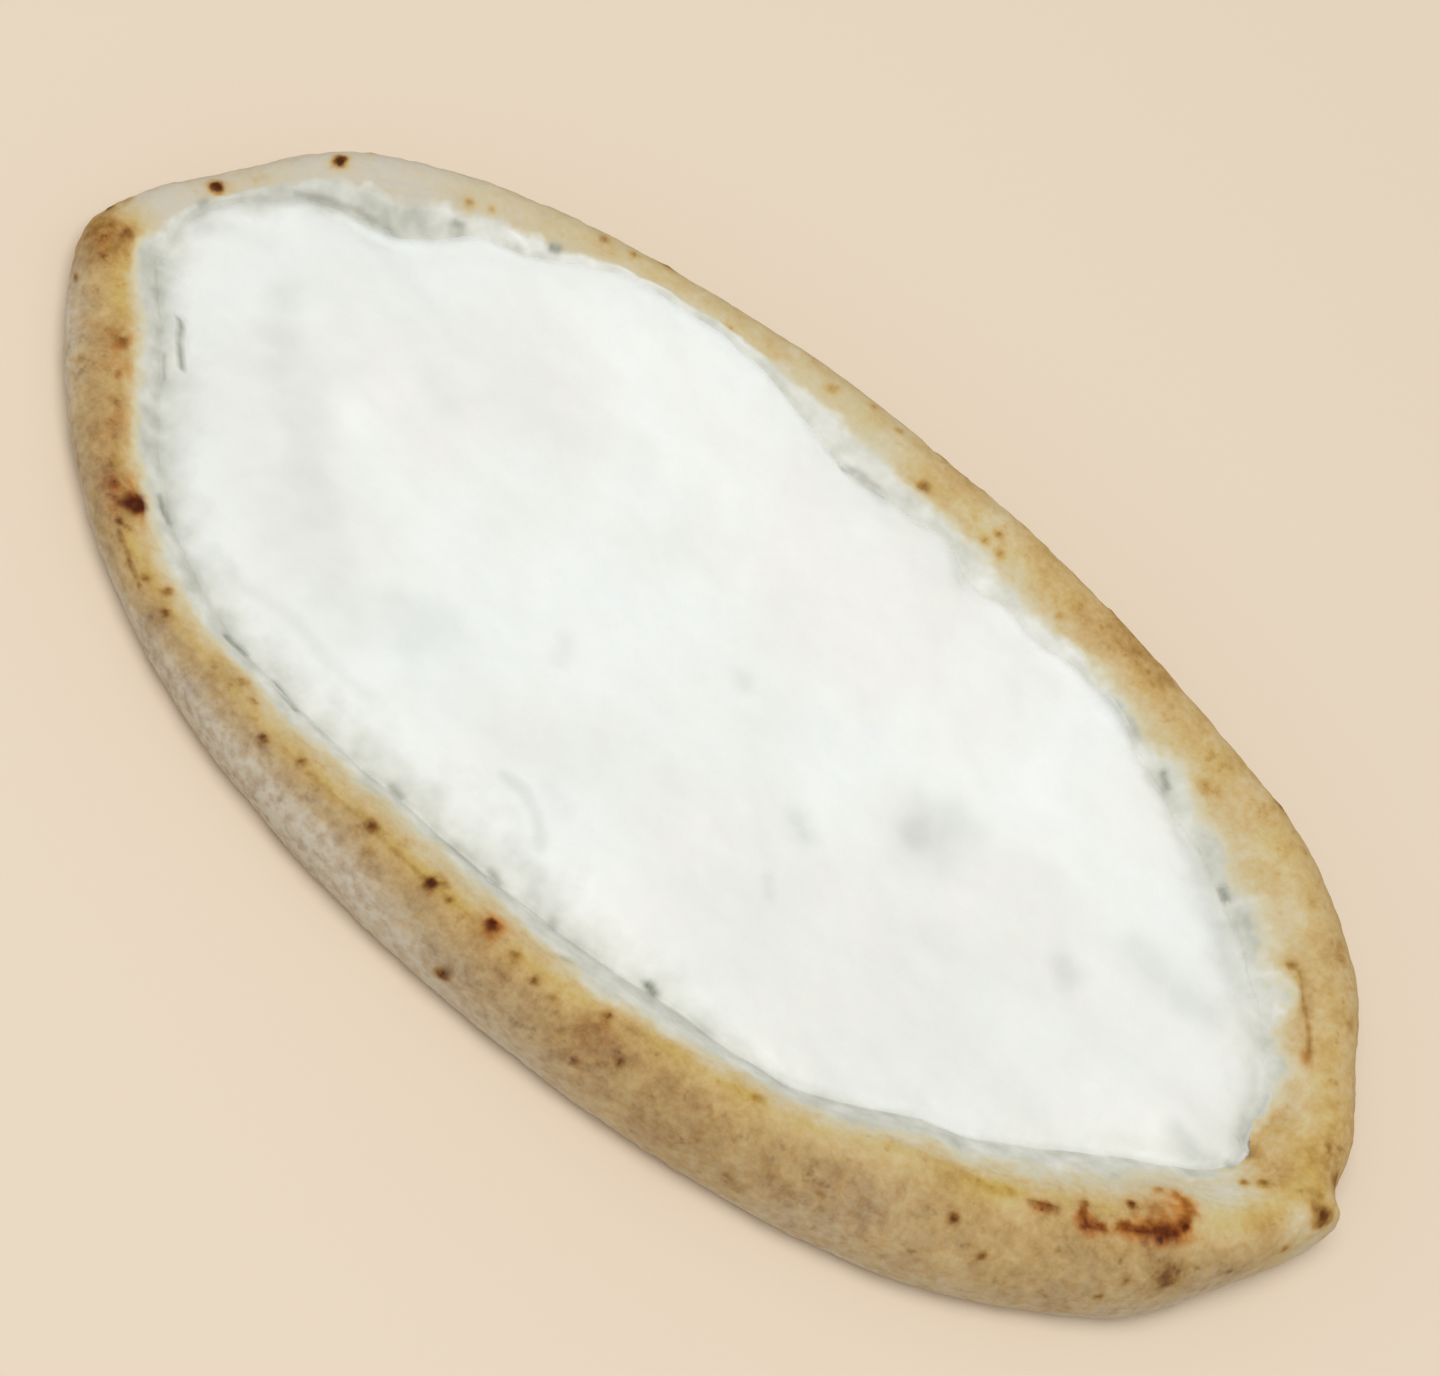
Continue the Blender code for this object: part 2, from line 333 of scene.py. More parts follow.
# %% Find the shift to the middle
raw = points_of(crust)
CENTRE_SHIFT = -(raw.min(axis=0) + raw.max(axis=0)) / 2 * (1.0, 1.0, 0.0)
set_points(crust, raw + CENTRE_SHIFT)
print("shift to the middle, mm:", (CENTRE_SHIFT / MM).round(2))

# %% [markdown]
# ## The cheese
# The filling is one soft, thick layer. Its edge is tucked just under the dough's skin, so that the two meet
# without a gap. It starts as a thin film that follows the dough down, and then swells into a lip that is
# thicker in some places than in others. The edge's unevenness dies away within a few millimetres, and the
# cheese rises evenly to its own level. Its top swells and dips where it was spooned in and where it sank in
# the oven. Each place is a soft hill or hollow: where it lies, its radius and its rise, all in millimetres.

# %% The cheese's top
GAP = 0.35 * MM
TUCK_REACH = 1.0 * MM
TUCK_DEPTH = 0.5 * MM
LIP_THICKNESS = 0.3 * MM
LIP_ROUND = 3.5 * MM
LIP_WAVES, LIP_SEED = 60.0, 3.1
LEAST_LIP, USUAL_LIP, LIP_CHANGE = 0.2, 0.55, 0.9
EVEN_LIP = 0.6
FILM_THICKNESS = 0.06 * MM
FILM_REACH = 2.0 * MM
EDGE_DIP = 0.5 * MM
WANDER_FADE = 5 * MM
FILLING_HEIGHT = 15.8 * MM
FILLING_RELIEF = 1.0 * MM
FILLING_RELIEF_SIZE = 38 * MM
LEVELLING_RUN = 0.30
SETTLING_RUN = 9 * MM
BROAD_PLACES = (
    (47.5, 9, 9, -1.5), (-114, 5, 11, -1), (-99, -8, 11, -0.9), (26, -9, 5, -0.6),
    (87, 4, 5, -0.6), (-45, -44, 12, 1.3), (-88, -28, 13, 1.2), (112, -12, 16, 0.9),
    (-60, 40, 20, 0.8),
)
LUMP_SIZES_MM = ((13.0, 0.42), (6.0, 0.26), (2.6, 0.10))
EDGE_LUMP_SIZES_MM = ((5.5, 0.55), (2.6, 0.25))
EDGE_LUMP_REACH = 6 * MM


def lip_at(cut, away):
    """How far the rounded lip lifts the cheese this far in from its edge."""
    at_edge = min(1.0, max(LEAST_LIP, USUAL_LIP + LIP_CHANGE * wave(cut.angle, LIP_WAVES, LIP_SEED)))
    thickness = LIP_THICKNESS * (at_edge + (EVEN_LIP - at_edge) * smooth(away / WANDER_FADE))
    return thickness * (1.0 - (1.0 - min(1.0, away / LIP_ROUND)) ** 2)


def cheese_level(cut, away):
    """Height of the cheese this far in from its edge: a film, a rounded lip and an even rise."""
    wander = (cut.filling_inset - cut.steady_inset) * smooth(away / WANDER_FADE)
    edge_height = slope_height(cut, cut.filling_inset - wander)
    run = LIP_ROUND + LEVELLING_RUN * place_at(cut, cut.steady_inset + LIP_ROUND, 0.0).length
    share = 1.0 - (1.0 - min(1.0, max(0.0, away + wander) / run)) ** 2
    start = edge_height - EDGE_DIP
    own = start + lip_at(cut, away) + (FILLING_HEIGHT - EVEN_LIP * LIP_THICKNESS - start) * share
    film = slope_height(cut, cut.filling_inset + away) + FILM_THICKNESS
    return film + (own - film) * smooth(away / FILM_REACH)


def lumps(point, sizes):
    """Even unevenness of several sizes, in metres."""
    return sum(
        rise * MM * noise.noise(point / (size * MM) + Vector((0.0, 0.0, size))) for size, rise in sizes
    )


def cheese_point(cut, plan, away):
    """A point of the cheese's skin, with its hills, hollows and curds."""
    broad = FILLING_RELIEF * noise.noise(plan / FILLING_RELIEF_SIZE)
    for x, y, radius, rise in BROAD_PLACES:
        broad += rise * MM * bump(math.hypot(plan.x - x * MM, plan.y - y * MM), radius * MM)
    curds = lumps(plan, LUMP_SIZES_MM) + lumps(plan, EDGE_LUMP_SIZES_MM) * bump(away, EDGE_LUMP_REACH)
    height = cheese_level(cut, away) + broad * smooth(away / SETTLING_RUN) + curds * smooth(away / LIP_ROUND)
    return Vector((plan.x, plan.y, height))


# %% The cheese's skin
LIP_STEPS = 8
TOP_STEPS = 92

cheese_rows = []
for level in reversed(BED_LEVELS):
    cheese_rows.append([dough_point(cut, level) + Vector((0.0, 0.0, GAP)) for cut in slices])
tuck = [cut.filling_inset - TUCK_REACH for cut in slices]
cheese_rows.append([
    place_at(cut, inset, slope_height(cut, inset) - TUCK_DEPTH) for cut, inset in zip(slices, tuck)
])
cheese_away = [0.0] * (len(cheese_rows) * AROUND)
for step in range(LIP_STEPS + TOP_STEPS):
    row = []
    for cut in slices:
        lip = place_at(cut, cut.filling_inset + LIP_ROUND, 0.0)
        away = LIP_ROUND * min(1.0, step / LIP_STEPS)
        plan = place_at(cut, cut.filling_inset + away, 0.0)
        if step > LIP_STEPS:
            share = 1.0 - (step - LIP_STEPS) / TOP_STEPS
            plan, away = lip * share, away + lip.length * (1.0 - share)
        row.append(cheese_point(cut, plan, away))
        cheese_away.append(away)
    cheese_rows.append(row)
middle_away = cheese_away[-1] + MM
bed_middle, top_middle = Vector((0, 0, FLOOR_THICKNESS + GAP)), cheese_point(slices[0], Vector(), middle_away)
cheese = closed_skin("pide_filling", cheese_rows, bed_middle, top_middle)
cheese_away = np.array([0.0] + cheese_away + [middle_away])
cheese_angles = np.array([0.0] + [cut.angle for _ in cheese_rows for cut in slices] + [0.0])
set_points(cheese, points_of(cheese) + CENTRE_SHIFT)
print("cheese from", round(min(v.co.z for v in cheese.data.vertices) / MM, 1), "to",
      round(max(v.co.z for v in cheese.data.vertices) / MM, 1), "mm high")

# %% [markdown]
# ## Oven marks
# The oven works unevenly: it chars the thinnest folds, dots the crest with brown and leaves floury stretches
# pale. Each mark is a soft-edged spot at a place in the view: how far along the boat and across it in
# millimetres, its radius, how much it browns the dough, and its warmth, from -1 for olive to 1 for red.

# %% Marks on the dough
CHARRED_SPOTS = (
    (-117.2, -37.7, 2.4, 0.95, 0.5), (-144.5, 21.3, 1.5, 0.85, 0.4), (-128.6, 41, 1.5, 0.9, 0.2),
    (-8.8, -58.1, 1.5, 0.85, 1), (-23.6, -59.3, 1.5, 0.8, 0.2), (-40, -58, 1.4, 0.75, 0.2),
    (-10.5, -71.7, 1.5, 0.6, -0.1), (157, 1.2, 2.5, 0.62, -0.1), (155, 1.6, 1.6, 0.5, -0.1),
    (20.4, -57.3, 1, 0.6, 0.5), (28, -63.2, 0.9, 0.55, 0.2), (99.7, -45.4, 1.2, 0.75, -0.1),
    (140.6, -27.4, 3, 0.42, -0.6), (128.3, -15.3, 1.3, 0.5, 0.1), (125.6, -20.9, 1.1, 0.6, 0.2),
)
NEAR_DOTS = (
    (-139.7, -14.3, 1.4, 0.5, 0.9), (-133.2, -24.4, 1.1, 0.36, 0.5), (-136.1, -19.9, 1, 0.3, 0.6),
    (-123.2, -37, 1.1, 0.4, 0.5), (-117.7, -42.5, 0.9, 0.4, 0.3), (-106.3, -48.1, 1, 0.45, 0),
    (-101.3, -47.2, 1.4, 0.5, 0.3), (-98.9, -50.8, 1, 0.5, 0.1), (-78.5, -51.9, 1.2, 0.35, -0.3),
    (-73.9, -53.3, 0.8, 0.3, -0.5), (-68, -57.8, 1, 0.55, -0.1), (-59, -56.8, 1.2, 0.55, 0.5),
    (-37, -62, 1, 0.35, 0.1), (-21.6, -57.7, 1, 0.45, 0.2), (-18.6, -59.7, 0.8, 0.5, 0),
    (-1.4, -60, 1.2, 0.45, -0.1), (4.6, -61.2, 1, 0.5, -0.3), (9.6, -61.5, 0.8, 0.4, -0.2),
    (54.1, -51.5, 1.2, 0.35, -0.5), (76, -58.3, 0.8, 0.35, 0), (59.4, -67.2, 0.8, 0.35, 0),
    (21, -68.3, 1, 0.35, 0.2), (108.7, -47.5, 1.2, 0.5, -0.1), (132.2, -39.2, 0.8, 0.5, 0),
    (134.2, -33.2, 1, 0.4, -0.2), (143.4, -1.1, 1.1, 0.5, -0.5), (140.4, -3.5, 1.1, 0.45, 0.1),
    (155, -8.4, 1.4, 0.4, 0), (149.3, -18.7, 0.8, 0.3, 0), (143.7, -22.7, 0.8, 0.3, 0),
    (-152.6, 3.2, 1.2, 0.35, 0.4), (-155.1, -10.2, 0.8, 0.4, -0.4), (-144.1, -21.9, 1, 0.3, 0),
)
FAR_DOTS = (
    (-103.1, 50.8, 1.4, 0.45, -0.4), (-99.1, 52.4, 1, 0.35, -0.2), (-71.2, 63.4, 1, 0.4, 0.3),
    (-77.8, 62.1, 1.2, 0.35, 0.2), (-47.2, 64.1, 1, 0.35, -0.5), (-23.6, 67.7, 1.4, 0.35, -0.6),
    (-14.6, 69.9, 1.2, 0.3, -0.2), (-7.8, 69.5, 1, 0.35, 0.5), (2.8, 63.8, 1.6, 0.45, -0.5),
    (20.8, 65.9, 1, 0.45, 0), (19.2, 63.3, 1, 0.35, -0.4), (23.2, 63.3, 1, 0.35, -0.2),
    (40.2, 61.1, 1, 0.25, -0.3), (56.8, 65.2, 1.2, 0.2, 0.1), (65.4, 64.8, 1.8, 0.2, 0.5),
    (84.5, 52.7, 1.6, 0.3, -0.1), (87.1, 53.9, 1, 0.25, 0), (108.4, 55.5, 0.8, 0.35, -0.2),
    (115.7, 48.9, 1, 0.25, 0.2), (125.3, 45.4, 1.4, 0.25, 0.3), (127.3, 43.6, 1.4, 0.3, 0.3),
    (120.2, 36.2, 1.2, 0.35, 0), (149.1, 12.7, 0.8, 0.35, 0.1), (136.6, 34.3, 0.8, 0.25, -0.2),
)
BROAD_PATCHES = (
    (22, -64.9, 5, 0.1, 0.4), (20.6, -60.3, 4.4, 0.1, 0.5), (26, -58, 3.6, 0.08, 0.6),
    (76.1, -53.9, 6, 0.12, 0.4), (83.4, -57.3, 5.4, 0.12, 0.3), (-153.8, 0.2, 3.6, 0.16, 0.95),
    (-155.8, -4.8, 3, 0.1, 0.4), (-141.7, -13.3, 2.4, 0.14, 0.9), (-119.8, -37.8, 3.2, 0.2, 0.7),
    (-138, -18, 3, 0.03, 0.6), (-130, -29, 3.6, 0.02, 0.5), (-124, -36, 3, 0.04, 0.4),
    (-7, -58.8, 2.8, 0.16, 1), (-38.2, 67.4, 4, 0.14, 0.5), (-75.2, 60.7, 2.4, 0.14, 0.2),
    (5.8, 67.8, 4.8, 0.12, 0.2), (47.8, 62.9, 8, 0.08, 0.3), (64.8, 63.8, 6, 0.08, 0.3),
    (125.7, 43.4, 5.2, 0.08, 0.2), (149.5, 10.3, 4, 0.1, 0), (137.8, -26.2, 4.4, 0.08, -0.4),
    (130.7, -18.2, 6.4, 0.1, 0.35), (132.6, -18.4, 3.6, 0.18, 0.6), (121.2, -27.6, 5, 0.02, -0.15),
    (134, -17.6, 1.4, -0.1, 0.2), (131.4, -19.6, 1, -0.16, -0.1), (115, -29.5, 5, 0, -0.15),
    (124, -24, 5, 0.02, 0), (106, -33.4, 5, -0.06, 0), (136.8, 9, 2.8, 0.22, -0.35),
    (137, 2, 2.4, 0.2, -0.35), (-82, -51.8, 4, 0.14, -0.3), (134.6, 16, 2.6, 0.1, -0.2),
    (98, -36.5, 6, -0.05, -0.05),
    (5, -66.8, 6, 0.1, 0.1), (-9, -66.7, 4.8, 0.1, 0.1), (-138.4, 29.4, 2.4, 0.1, -0.6),
    (150, -8.3, 4, 0.06, -0.2), (139, -4.9, 3, -0.14, 0.1), (144, -3.8, 2.6, -0.12, 0.1),
    (149, -1.2, 2.2, -0.1, 0.1), (153, 0, 1.8, -0.08, 0.1), (139, -8.6, 4, -0.16, -0.2),
    (143.3, -14.7, 4.6, -0.1, -0.2), (156.8, 0.8, 2.8, 0.22, -0.1), (128.5, 31.5, 2.6, 0.14, -0.1),
    (133.5, 25.5, 2.2, 0.14, 0.2), (122, 37, 2.2, 0.1, 0), (-131, -27, 2, 0.02, 0.6),
)
print(len(CHARRED_SPOTS) + len(NEAR_DOTS) + len(FAR_DOTS) + len(BROAD_PATCHES), "single marks")

# %% [markdown]
# ## Streaks, a crack and a blister
# Some marks are lines: browned streaks along the near crest, the reddish crack on the far right, and the
# slits where the cheese has drawn back from the dough, which are painted dark as shade. The blister near the
# +X end burst on one side and charred round the rest of its rim, so it is an arc of spots that runs out into
# a streak.

# %% Marks that are drawn as lines
BROWN_STREAKS = (
    (((109.6, -33.3), (114.4, -30.9)), 1, 0.5, 0.4),
    (((118.2, -26.5), (119.2, -28.9), (121.2, -29.9), (123.9, -28.3)), 1, 0.5, 0.7),
    (((126.2, -26.2), (128.3, -24.6), (130.6, -23.6), (132.4, -22.2)), 1.1, 0.55, 0.6),
    (((95.6, -36.8), (100.4, -36.6), (106, -33.7)), 1.1, 0.18, -0.2),
    (((119, 36.6), (122.5, 36.2), (126.3, 32.5)), 0.6, 0.24, -0.3),
    (((126.3, 32.5), (130, 29.6), (132.6, 27.2), (134.6, 23.6)), 0.6, 0.32, 0.1),
    (((134.2, 24.6), (134.9, 23.2)), 1.1, 0.34, 0.5),
    (((-64, -56.9), (-50, -58), (-40, -58.3), (-24, -59.2), (-10, -59.4)), 0.6, 0.18, -0.2),
    (((-116.6, -43.8), (-111, -47.3), (-106.6, -49.6)), 0.6, 0.3, -0.2),
    (((-138, -15.5), (-131, -26.5), (-125, -35), (-119.5, -41)), 1, 0.1, 0.6),
)
# Slits: each is sunk a little and painted dark as shade.
SHADED_SLITS = (
    (((-133.6, -3.4), (-131.9, -5.2), (-129, -9), (-127.3, -10.8)), 0.6, 0.8),
    (((-131.6, -11.2), (-129, -14.8)), 0.6, 0.4),
    (((-114.2, -33.9), (-109.8, -36.5)), 0.7, 0.8),
    (((-86.5, -46.9), (-81.5, -47.3)), 0.8, 0.8),
    (((-73, -48.1), (-66.5, -49.6)), 0.8, 0.7),
    (((-41.4, -49.5), (-39.8, -49.6)), 1.1, 0.7),
    (((-15.6, -49.8), (-13.1, -50.7)), 1, 0.55),
    (((0.1, -50.4), (0.6, -51)), 1.3, 0.5),
    (((7.9, -53.7), (6.3, -54.2)), 0.9, 0.4),
    (((22.9, -47.6), (24.9, -48.1)), 1, 1),
    (((-11.8, 56.7), (-9.2, 57.9), (-2.6, 57.6)), 0.9, 0.5),
    (((-84.8, 54.4), (-83.8, 54.7)), 1.1, 0.9),
    (((-102.9, 46), (-102.3, 46.1)), 1.1, 0.6),
    (((-112.6, 36.5), (-119.8, 35.4), (-126.8, 32.8), (-131.4, 30.6)), 0.9, 0.5),
    (((-144.9, 17.1), (-144.5, 17.6)), 0.9, 0.5),
    (((76.5, 49.6), (78.5, 48.2)), 0.9, 0.9),
    (((100.4, 39), (101.8, 38.3)), 1.2, 0.8),
    (((135.8, -2.7), (136.3, -2.6)), 0.9, 0.4),
)
BLISTER_MIDDLE = (132.6, -17.8)
BLISTER_RADIUS = 4.0
BLISTER_SPOTS = 11
BLISTER_START, BLISTER_END = math.radians(105.0), math.radians(-95.0)
BLISTER_SPOT_MM, BLISTER_GROWTH_MM = 1.4, 0.4
BLISTER_CHAR, BLISTER_CHAR_GROWTH = 0.44, 0.10
BLISTER_WARMTH = 0.60
SPOT_OVERLAP = 0.8


def spots_along(line, gap_mm):
    """Places at even steps along a line through the given places."""
    places = [line[0]]
    for (x0, y0), (x1, y1) in zip(line, line[1:]):
        steps = max(1, round(math.hypot(x1 - x0, y1 - y0) / gap_mm))
        places += [(x0 + (x1 - x0) * k / steps, y0 + (y1 - y0) * k / steps) for k in range(1, steps + 1)]
    return places


streak_spots = []
for line, radius, depth, warmth in BROWN_STREAKS:
    streak_spots += [(*place, radius, depth, warmth) for place in spots_along(line, radius * SPOT_OVERLAP)]
blister_spots = []
for spot in range(BLISTER_SPOTS):
    share = spot / (BLISTER_SPOTS - 1)
    turn = BLISTER_START + (BLISTER_END - BLISTER_START) * share
    along = BLISTER_MIDDLE[0] + BLISTER_RADIUS * math.cos(turn)
    across = BLISTER_MIDDLE[1] + BLISTER_RADIUS * math.sin(turn)
    radius, depth = BLISTER_SPOT_MM + BLISTER_GROWTH_MM * share, BLISTER_CHAR + BLISTER_CHAR_GROWTH * share
    blister_spots.append((along, across, radius, depth, BLISTER_WARMTH))
print(len(streak_spots), "spots in streaks,", len(blister_spots), "round the blister")

# %% [markdown]
# ## The marks on the sides out of sight
# The far wall and the underside get marks of the same kind, strewn by a seeded random draw, so that they are
# the same in every run. A stone floor toasts the underside in leopard spots where the dough touches it.

# %% Strewn marks
FAR_WALL_MARKS, UNDERSIDE_MARKS = 46, 150
draw = random.Random(11)
strewn_spots = []
for _ in range(FAR_WALL_MARKS):
    cut = slices[int(draw.uniform(0.0, 0.5) * AROUND)]
    place = dough_point(cut, draw.uniform(-0.3, 0.5))
    strewn_spots.append((place, draw.uniform(0.8, 2.2), draw.uniform(0.15, 0.55), draw.uniform(-0.2, 0.4)))
for _ in range(UNDERSIDE_MARKS):
    cut = slices[draw.randrange(AROUND)]
    foot = dough_point(cut, -1.0) * math.sqrt(draw.uniform(0.0, 0.98))
    place = Vector((foot.x, foot.y, 0.0))
    strewn_spots.append((place, draw.uniform(1.5, 5.0), draw.uniform(0.15, 0.6), draw.uniform(0.0, 0.4)))
print(len(strewn_spots), "strewn marks")

# %% [markdown]
# ## Press the marks onto the skins
# A sight line from the eye through each place meets the dough or the cheese at one point. Around it the mark
# fades with distance, and a little noise makes its edge ragged. Where two marks meet, the stronger one wins,
# and broad, faint patches add to each other.

# %% Find each mark on the bread
RAGGEDNESS = 0.35


def surface_of(made):
    """A search tree over the mesh that sight lines can be tested against."""
    return BVHTree.FromPolygons(points_of(made).tolist(), [tuple(f.vertices) for f in made.data.polygons])


dough_surface, cheese_surface = surface_of(crust), surface_of(cheese)


def seen_point(along_mm, across_mm):
    """Where the sight line through a place in the view first meets the bread."""
    line = sight_line(along_mm, across_mm)
    hits = [surface.ray_cast(EYE, line) for surface in (dough_surface, cheese_surface)]
    hits = [hit for hit in hits if hit[0] is not None]
    return min(hits, key=lambda hit: hit[3])[0] if hits else None


def ragged(points, size_mm, seed):
    """Noise from about -1 to 1 at each point."""
    scale = 1.0 / (size_mm * MM)
    return np.array([noise.noise(Vector(p) * scale + Vector((seed, 0.0, 0.0))) for p in points])


def spread(points, place, radius, rag, sharpness=2.0):
    """1 on a mark, fading to 0 around it, with a ragged edge."""
    away = np.linalg.norm(points - np.array(place), axis=1) / (radius * MM)
    return np.exp(-np.power(np.maximum(away + RAGGEDNESS * rag, 0.0), sharpness))


crust_points, cheese_points = points_of(crust), points_of(cheese)
crust_rag = ragged(crust_points, 1.7, 3.0)
lost = [spot for spot in CHARRED_SPOTS + NEAR_DOTS + FAR_DOTS if seen_point(*spot[:2]) is None]
print("marks that miss the bread:", lost)

# %% [markdown]
# ## How brown the dough is
# The broad colours come first: 0 is floury white, 0.5 golden and 1 dark brown. Dough is palest at the cheese
# and brownest on the wall. The near side is darker than the far side: partly better baked, and partly painted
# shade on the near wall. Some stretches of the rim differ from that. Each has its place and half its length
# in degrees round the boat, then how much browner its wall, crest and inner slope are.

# %% Browning along the rim
FOOT_SHARE = 0.6
BROWNING_NOISE = ((16.0, 1.0, 0.08), (5.0, 2.0, 0.07))
BROWNING_LEVELS = (-1.0, -0.2, 0.3, 0.75, 1.0, 1.2, 1.45, 2.0)
# The near side's values hold painted shade on the near wall as well as browning.
NEAR_BROWNING_AND_SHADE = (0.52, 0.58, 0.66, 0.64, 0.54, 0.48, 0.34, 0.18)
FAR_BROWNING = (0.42, 0.48, 0.50, 0.47, 0.46, 0.42, 0.33, 0.18)
STRETCHES = {
    "toasted -X end": (181, 9, 0.06, 0.08, -0.04),
    "well baked, near left": (208, 13, 0.06, 0, 0),
    "brown wall, near left": (246, 14, 0.22, 0, 0.04),
    "floury, far left": (145, 20, -0.16, -0.18, -0.02),
    "floury corner, far left": (168, 7, -0.1, -0.14, -0.1),
    "pale pocket, far middle": (99, 7, -0.06, -0.12, -0.08),
    "well baked, far middle": (66, 9, 0.06, 0.06, 0.04),
    "golden down to the cheese, far right": (32, 26, -0.02, 0, 0.08),
    "golden +X end": (2, 13, 0, 0.04, 0.18),
    "pale crest, far middle": (86, 11, -0.04, -0.1, -0.02),
    "pale rim, far middle": (114, 14, -0.06, -0.06, 0),
    "pale crest, near right": (300, 7, 0, -0.08, -0.06),
    "brown wall, near right": (334, 8, 0.04, -0.06, -0.08),
    "pale wall, +X end": (352, 9, -0.34, -0.04, 0.06),
    "golden crest, near middle": (270, 6, 0, -0.1, 0),
    "brown wall, near middle": (285, 12, 0.05, -0.03, 0),
}


def along_the_levels(values):
    """The value at each point of the dough, from values at the browning levels."""
    return np.interp(crust_levels, BROWNING_LEVELS, values)


def near_and_far(near_values, far_values):
    """Blends values of the near side into values of the far side round the two ends."""
    return near_share * along_the_levels(near_values) + (1.0 - near_share) * along_the_levels(far_values)


def stretch_at(angles, place, half_length):
    """1 in the middle of a stretch of the rim, fading to 0 beyond it."""
    return np.exp(-((turn_from(angles, place) / half_length) ** 2))


def stretches_at(angles, stretches):
    """The sum of all these stretches' values at each angle."""
    return sum(value * stretch_at(angles, place, half_length) for place, half_length, value in stretches)


near_share = 0.5 - 0.5 * np.clip(np.sin(crust_angles) * 2.0, -1.0, 1.0)
browning = near_and_far(NEAR_BROWNING_AND_SHADE, FAR_BROWNING)
for place, half_length, wall, rim, slope in STRETCHES.values():
    change = along_the_levels((wall * FOOT_SHARE, wall, wall, wall, rim, rim, slope, slope))
    browning += change * stretch_at(crust_angles, place, half_length)
for size, seed, amount in BROWNING_NOISE:
    browning += amount * ragged(crust_points, size, seed)
print("browning from", browning.min().round(2), "to", browning.max().round(2))

# %% [markdown]
# ## Flour and butter
# Flour from the board clings to the foot and the wall and greys them, in some stretches more than in others.
# The crest was brushed with butter, which turns it a yellower gold, most of all on the near side. Warmth
# below 0 is that gold, and above 0 it is the red of a hot spot.

# %% Flour on the wall, butter on the crest
NEAR_FLOUR = (0.85, 0.66, 0.34, 0.20, 0.09, 0.10, 0.18, 0.28)
FAR_FLOUR = (0.50, 0.30, 0.10, 0.04, 0.02, 0.02, 0.10, 0.20)
FLOURY_STRETCHES = (
    (145, 22, 0.84), (168, 7, 0.5), (100, 13, 0.3), (300, 9, 0.14), (181, 8, -0.3),
    (0, 12, -0.2), (250, 16, 0.1), (36, 10, 0.06), (236, 9, 0.08), (120, 9, 0.1),
)
FLOURY_FOOT = (1.0, 1.0, 0.8, 0.2, 0.0, 0.0, 0.0, 0.0)
FLOURY_FEET = ((250.0, 20.0, 0.80), (200.0, 14.0, 0.50), (332.0, 12.0, 0.30))
FLOUR_UNEVENNESS = 0.12
BUTTER_LEVEL = 1.1
NEAR_BUTTER_WIDTH, FAR_BUTTER_WIDTH = 0.17, 0.42
FAR_BUTTER = 0.4
WARMTH_UNEVENNESS = 0.22
BUTTER_GOLD = 0.65
flour = near_and_far(NEAR_FLOUR, FAR_FLOUR) + stretches_at(crust_angles, FLOURY_STRETCHES)
flour += along_the_levels(FLOURY_FOOT) * stretches_at(crust_angles, FLOURY_FEET)
flour = np.clip(flour + FLOUR_UNEVENNESS * ragged(crust_points, 11.0, 12.0), 0.0, 1.0)
butter_width = FAR_BUTTER_WIDTH + (NEAR_BUTTER_WIDTH - FAR_BUTTER_WIDTH) * near_share
buttered = (FAR_BUTTER + (1.0 - FAR_BUTTER) * near_share) * (1.0 - flour)
buttered *= np.exp(-((crust_levels - BUTTER_LEVEL) / butter_width) ** 2)
warmth = WARMTH_UNEVENNESS * ragged(crust_points, 9.0, 8.0) - BUTTER_GOLD * buttered
print("most flour", flour.max().round(2), "and most butter", buttered.max().round(2))

# %% Add the marks
MARK_STRENGTH = 1.1
CORE_SHARPNESS = 2.6
HALO_SIZE, HALO_STRENGTH, HALO_WARMTH = 2.1, 0.22, 1.2
PATCH_SIZE, PATCH_WARMTH = 1.2, 0.6
BROWNEST_BEFORE_MARKS = 0.75
FLOUR_BURNT_OFF = 1.6

single_spots = CHARRED_SPOTS + NEAR_DOTS + FAR_DOTS + tuple(streak_spots) + tuple(blister_spots)
mark_depth = np.zeros(len(crust_points))
mark_warmth = np.zeros(len(crust_points))
placed = [(seen_point(*spot[:2]), *spot[2:]) for spot in single_spots] + strewn_spots
for place, radius, depth, hue in placed:
    if place is None:
        continue
    core = spread(crust_points, place, radius, crust_rag, CORE_SHARPNESS)
    halo = spread(crust_points, place, radius * HALO_SIZE, crust_rag)
    strength = depth * (core + HALO_STRENGTH * halo)
    stronger = strength > mark_depth
    mark_depth[stronger] = strength[stronger]
    mark_warmth += hue * HALO_WARMTH * halo * depth
for along, across, radius, depth, hue in BROAD_PATCHES:
    place = seen_point(along, across)
    if place is not None:
        patch = spread(crust_points, place, radius * PATCH_SIZE, crust_rag)
        browning += depth * patch
        mark_warmth += hue * PATCH_WARMTH * patch
browning = np.clip(browning, 0.0, BROWNEST_BEFORE_MARKS)
browning += np.clip(MARK_STRENGTH * mark_depth, 0.0, 1.0) * (1.0 - browning)
flour *= 1.0 - np.clip(FLOUR_BURNT_OFF * mark_depth, 0.0, 1.0)
warmth = np.clip(warmth + mark_warmth, -1.0, 1.0)
print("darkest mark", browning.max().round(2))
